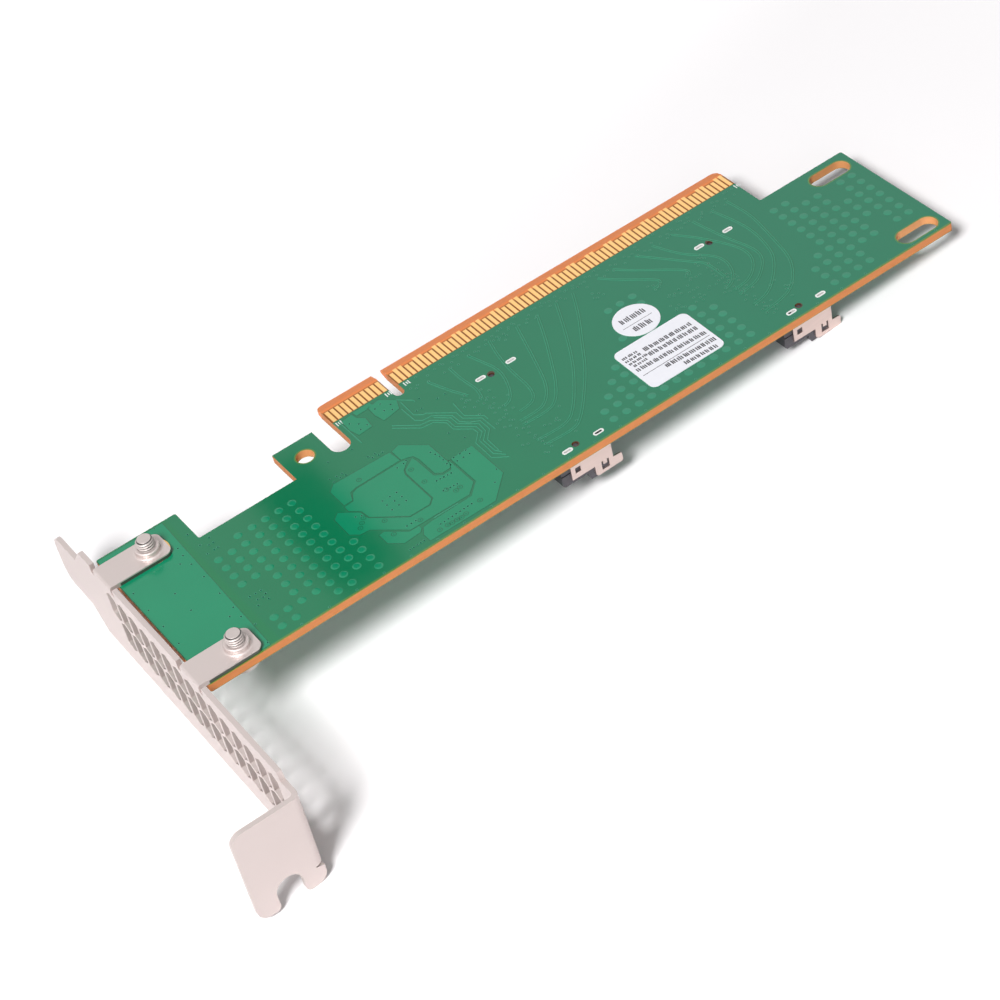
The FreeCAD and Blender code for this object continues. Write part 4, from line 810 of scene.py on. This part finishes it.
def make_screws():
    """The frame's screws cut off at the thread's start, each with a thread in place of what was cut."""
    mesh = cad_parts["bracket_screws"].data.copy()
    work = bmesh.new()
    work.from_mesh(mesh)
    bmesh.ops.remove_doubles(work, verts=work.verts, dist=1e-7)
    bmesh.ops.bisect_plane(work, geom=list(work.verts) + list(work.edges) + list(work.faces),
                           plane_co=(0, 0, thread_from * MM), plane_no=(0, 0, 1), clear_outer=True)
    work.to_mesh(mesh)
    work.free()
    points = np.array([vertex.co for vertex in mesh.vertices]) / MM
    faces = [list(face.vertices) for face in mesh.polygons]
    parts = [(points, faces)] + [thread_part(place) for place in screw_places]
    piece = link_mesh("threaded_screws", *join_parts(parts))
    finish = Finish("bright_nickel")
    along, across, height = finish.place()
    tone = finish.mix(finish.grain(1.2), (0.50, 0.44, 0.42), (0.60, 0.53, 0.51))
    # painted shade: the thread's grooves are darkened almost to black
    middle = (screw_places[0][1] + screw_places[1][1]) / 2
    reach = (screw_places[0][1] - screw_places[1][1]) / 2
    out = ((along - screw_places[0][0]) ** 2.0 + abs(abs(across - middle) - reach) ** 2.0) ** 0.5
    groove = 1.0 - out.rise(thread_outer - thread_depth, thread_outer - 0.1)
    groove = groove * height.rise(thread_from + 0.1, thread_from + 0.2)
    groove = groove * (1.0 - height.rise(screw_end - 0.06, screw_end - 0.02))
    tone = finish.mix(groove, tone, (0.020, 0.016, 0.015))
    piece.data.materials.append(finish.set(Base_Color=tone, Metallic=0.35, Roughness=0.5))
    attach(piece, "root")
    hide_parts("bracket_screws")


make_screws()

# Cable sockets. A black moulded housing between two stamped steel end plates, with two rows of gold flashed
# contacts. Pegs place it in the board's holes, and the end plates' tabs are soldered into slots.


def finish_socket_plastic():
    finish = Finish("black_moulding")
    speckle = finish.grain(0.35, 4.0)
    tone = finish.mix(speckle, (0.050, 0.045, 0.055), (0.075, 0.070, 0.082))
    return finish.set(Base_Color=tone, Roughness=0.42, Normal=finish.bump(speckle, 0.25, 0.01))


def finish_end_plate():
    finish = Finish("stamped_steel")
    rolled = finish.grain(0.4, 3.0, (0.15, 1.0, 1.0))
    tone = finish.mix(rolled, (0.62, 0.50, 0.465), (0.70, 0.56, 0.52))
    return finish.set(Base_Color=tone, Metallic=0.95, Roughness=0.3, Normal=finish.bump(rolled, 0.12, 0.004))


def finish_contact():
    finish = Finish("gold_flash")
    tone = finish.mix(finish.grain(0.5), (0.80, 0.58, 0.27), (0.92, 0.72, 0.38))
    return finish.set(Base_Color=tone, Metallic=1.0, Roughness=0.25)


for number in (1, 2):
    name = "socket_%d_" % number
    dress(name + "housing", finish_socket_plastic())
    for side in ("upper", "lower"):
        dress(name + side + "_end_plate", finish_end_plate())
    for row in ("near", "far"):
        dress(name + row + "_contacts", finish_contact())

# Tinned rings. The plated walls and rims of the solder slots, with the solder that rose around the tabs of
# the end plates.


def finish_tin():
    finish = Finish("bright_tin")
    tone = finish.mix(finish.grain(0.5, 3.0), (0.83, 0.83, 0.82), (0.95, 0.95, 0.94))
    return finish.set(Base_Color=tone, Metallic=0.75, Roughness=0.32)


dress("tinned_slot_rings", finish_tin())
slot_sockets = (11.52, 57.24)
slot_step = 6.13
slot_rows = (-14.9, -39.58)
# places along the lower row that the solder left open, with half of their length
open_places = ((56.95, 0.2), (17.65, 0.55))


def make_solder():
    """A shallow meniscus in each slot, made of ovals at five shares of its size.

    Along the slot an oval is 0.84 times the cosine cut off at a half plus 0.312 times the cosine, across it
    is 0.215 times the sine, and it sinks by 0.09 times (1 - the share squared).
    """
    shares = np.array([1.0, 0.8, 0.55, 0.25, 0.03])
    around = 20
    angles = np.arange(around) / around * 2 * math.pi
    cosine = np.cos(angles)
    x = np.outer(shares, 0.84 * np.clip(cosine * 0.9, -0.5, 0.5) + 0.312 * cosine)
    y = np.outer(shares, np.sin(angles)) * 0.215
    z = np.repeat((board_face - 0.02 - 0.09 * (1 - shares ** 2))[:, None], around, axis=1)
    faces = list(grid_faces(len(shares), around, closed=True))
    faces.append(np.arange(around) + (len(shares) - 1) * around)
    parts = []
    for socket in slot_sockets:
        for row in slot_rows:
            for step in (0.0, slot_step):
                points = np.stack([x + socket + step, y + row, z], axis=-1).reshape(-1, 3)
                parts.append((points, faces))
    piece = link_mesh("solder_fill", *join_parts(parts), smooth=True)
    finish = Finish("dull_solder")
    tone = finish.mix(finish.grain(0.3, 3.0), (0.34, 0.33, 0.32), (0.60, 0.59, 0.57))
    along, across, _ = finish.place()
    unfilled = 0.0
    for place, half in open_places:
        unfilled = (1.0 - abs(along - place).rise(half, half + 0.15)).most(unfilled)
    tone = finish.mix(unfilled * (1.0 - across.rise(-38.0, -37.0)), tone, (0.020, 0.017, 0.015))
    piece.data.materials.append(finish.set(Base_Color=tone, Metallic=0.7, Roughness=0.45))
    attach(piece, "root")


make_solder()

# Stickers. White coated paper, die cut and stuck on the coating. They are bare of words: the print is a rule
# and rows of plain strokes.
label_top = board_face + 0.1
rules = ((30.7, -34.3, 13.7, 0.11), (35.2, -22.75, 6.0, 0.09))
# rows of strokes: start, end, height
stroke_rows = (
    ((34.6, -29.7), (43.9, -30.1), 1.0), ((34.5, -31.2), (44.2, -31.7), 1.0),
    ((30.7, -32.9), (43.8, -33.6), 0.95), ((34.7, -35.5), (44.1, -36.0), 1.0),
    ((37.3, -37.2), (44.0, -37.6), 0.9), ((35.9, -21.6), (41.2, -21.7), 1.3),
    ((36.5, -24.6), (39.4, -24.7), 1.3), ((30.6, -28.9), (33.5, -28.9), 0.6),
    ((30.6, -29.8), (33.7, -29.8), 0.6), ((30.7, -30.7), (33.9, -30.7), 0.6),
    ((31.0, -31.6), (33.4, -31.6), 0.6),
)
stroke_wide = 0.23
stroke_gaps = [0.08, 0.14]
group_gap = 0.18


def finish_paper():
    finish = Finish("white_paper")
    tone = finish.mix(finish.grain(0.8, 3.0), (0.83, 0.83, 0.89), (0.89, 0.89, 0.94))
    return finish.set(Base_Color=tone, Roughness=0.5)


for label in ("round_label", "rectangular_label"):
    dress(label, finish_paper())


def ink_part(x, y, wide, high):
    """A bar of ink that starts just inside the paper."""
    return bar_part(x, y, wide, high, label_top - 0.001, label_top + 0.008)


def stroke_row(rng, start, end, high):
    """Narrow strokes in groups of two or three along the line from start to end, some a little lower."""
    parts = []
    x, y = start
    slope = (end[1] - start[1]) / (end[0] - start[0])
    while x < end[0] - 0.2:
        for _ in range(rng.integers(2, 4)):
            parts.append(ink_part(x, y, stroke_wide, high * rng.choice([0.85, 1.0])))
            x += stroke_wide + rng.choice(stroke_gaps)
            y = start[1] + slope * (x - start[0])
        x += group_gap
    return parts


def make_print():
    """The rules as bars, and then the rows of strokes."""
    rng = np.random.default_rng(5)
    parts = [ink_part(*rule) for rule in rules]
    for start, end, high in stroke_rows:
        parts += stroke_row(rng, start, end, high)
    piece = link_mesh("label_print", *join_parts(parts))
    finish = Finish("grey_ink")
    tone = finish.mix(finish.grain(0.2, 3.0), (0.02, 0.019, 0.024), (0.06, 0.056, 0.066))
    piece.data.materials.append(finish.set(Base_Color=tone, Roughness=0.5))
    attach(piece, "root")


make_print()

# Small parts of the component face. Moulded chips with tinned legs, fired ceramic blocks with tinned ends and
# a pressed ferrite inductor, all soldered to the board's face. Each metal share is 1 past the body, where the
# legs or the ends are.
ceramic_colours = ((0.30, 0.19, 0.10), (0.40, 0.27, 0.16))
resistor_colours = ((0.02, 0.02, 0.025), (0.05, 0.05, 0.055))
ferrite_colours = ((0.05, 0.05, 0.055), (0.10, 0.10, 0.105))


def finish_chip(name, metal_share):
    """Dark moulding, or tin where the share given by the place is 1."""
    finish = Finish(name)
    along, across, _ = finish.place()
    metal = metal_share(along, across)
    speckle = finish.grain(0.2, 3.0)
    dark = finish.mix(speckle, (0.018, 0.018, 0.019), (0.040, 0.040, 0.042))
    tone = finish.mix(metal, dark, (0.74, 0.74, 0.72))
    return finish.set(Base_Color=tone, Metallic=metal * 0.8, Roughness=0.5 - metal * 0.2)


def finish_block(name, body_colours, metal_share):
    """A fired or pressed body that drifts between two colours, or tin where the share is 1."""
    finish = Finish(name)
    along, across, _ = finish.place()
    metal = metal_share(along, across)
    body = finish.mix(finish.grain(0.5, 2.0), *body_colours)
    tone = finish.mix(metal, body, (0.80, 0.80, 0.78))
    return finish.set(Base_Color=tone, Metallic=metal * 0.85, Roughness=0.42 - metal * 0.1)


def resistor_ends(x, y):
    """Resistors left of -20 lie across the board, and the others along it."""
    past_pours = x.rise(-20.0, -19.0)
    across_ends = abs(y + 19.35).rise(0.26, 0.28) * (1.0 - past_pours)
    return across_ends.most(abs(x - 34.3).rise(0.26, 0.28) * past_pours)


dress("memory_chip", finish_chip("memory_chip", lambda x, y: abs(y + 34.0).rise(1.95, 1.97)))
dress("voltage_regulator", finish_chip("voltage_regulator", lambda x, y: abs(y + 24.0).rise(1.75, 1.77)))
dress("clock_buffer", finish_chip(
    "clock_buffer", lambda x, y: abs(x - 40.4).most(abs(y + 22.0)).rise(2.5, 2.51)))
dress("coupling_capacitors", finish_block(
    "small_ceramic", ceramic_colours, lambda x, y: abs(y + 8.4).rise(0.26, 0.28)))
dress("bypass_capacitors", finish_block(
    "bypass_ceramic", ceramic_colours, lambda x, y: abs(abs(x - 40.4) - 4.35).rise(0.26, 0.28)))
dress("bulk_capacitors", finish_block(
    "large_ceramic", ceramic_colours, lambda x, y: abs(abs(x + 31.575) - 10.625).rise(1.1, 1.12)))
dress("resistors", finish_block("thick_film", resistor_colours, resistor_ends))
dress("power_inductor", finish_block(
    "pressed_ferrite", ferrite_colours, lambda x, y: abs(x + 26.5).rise(9.0, 9.1)))
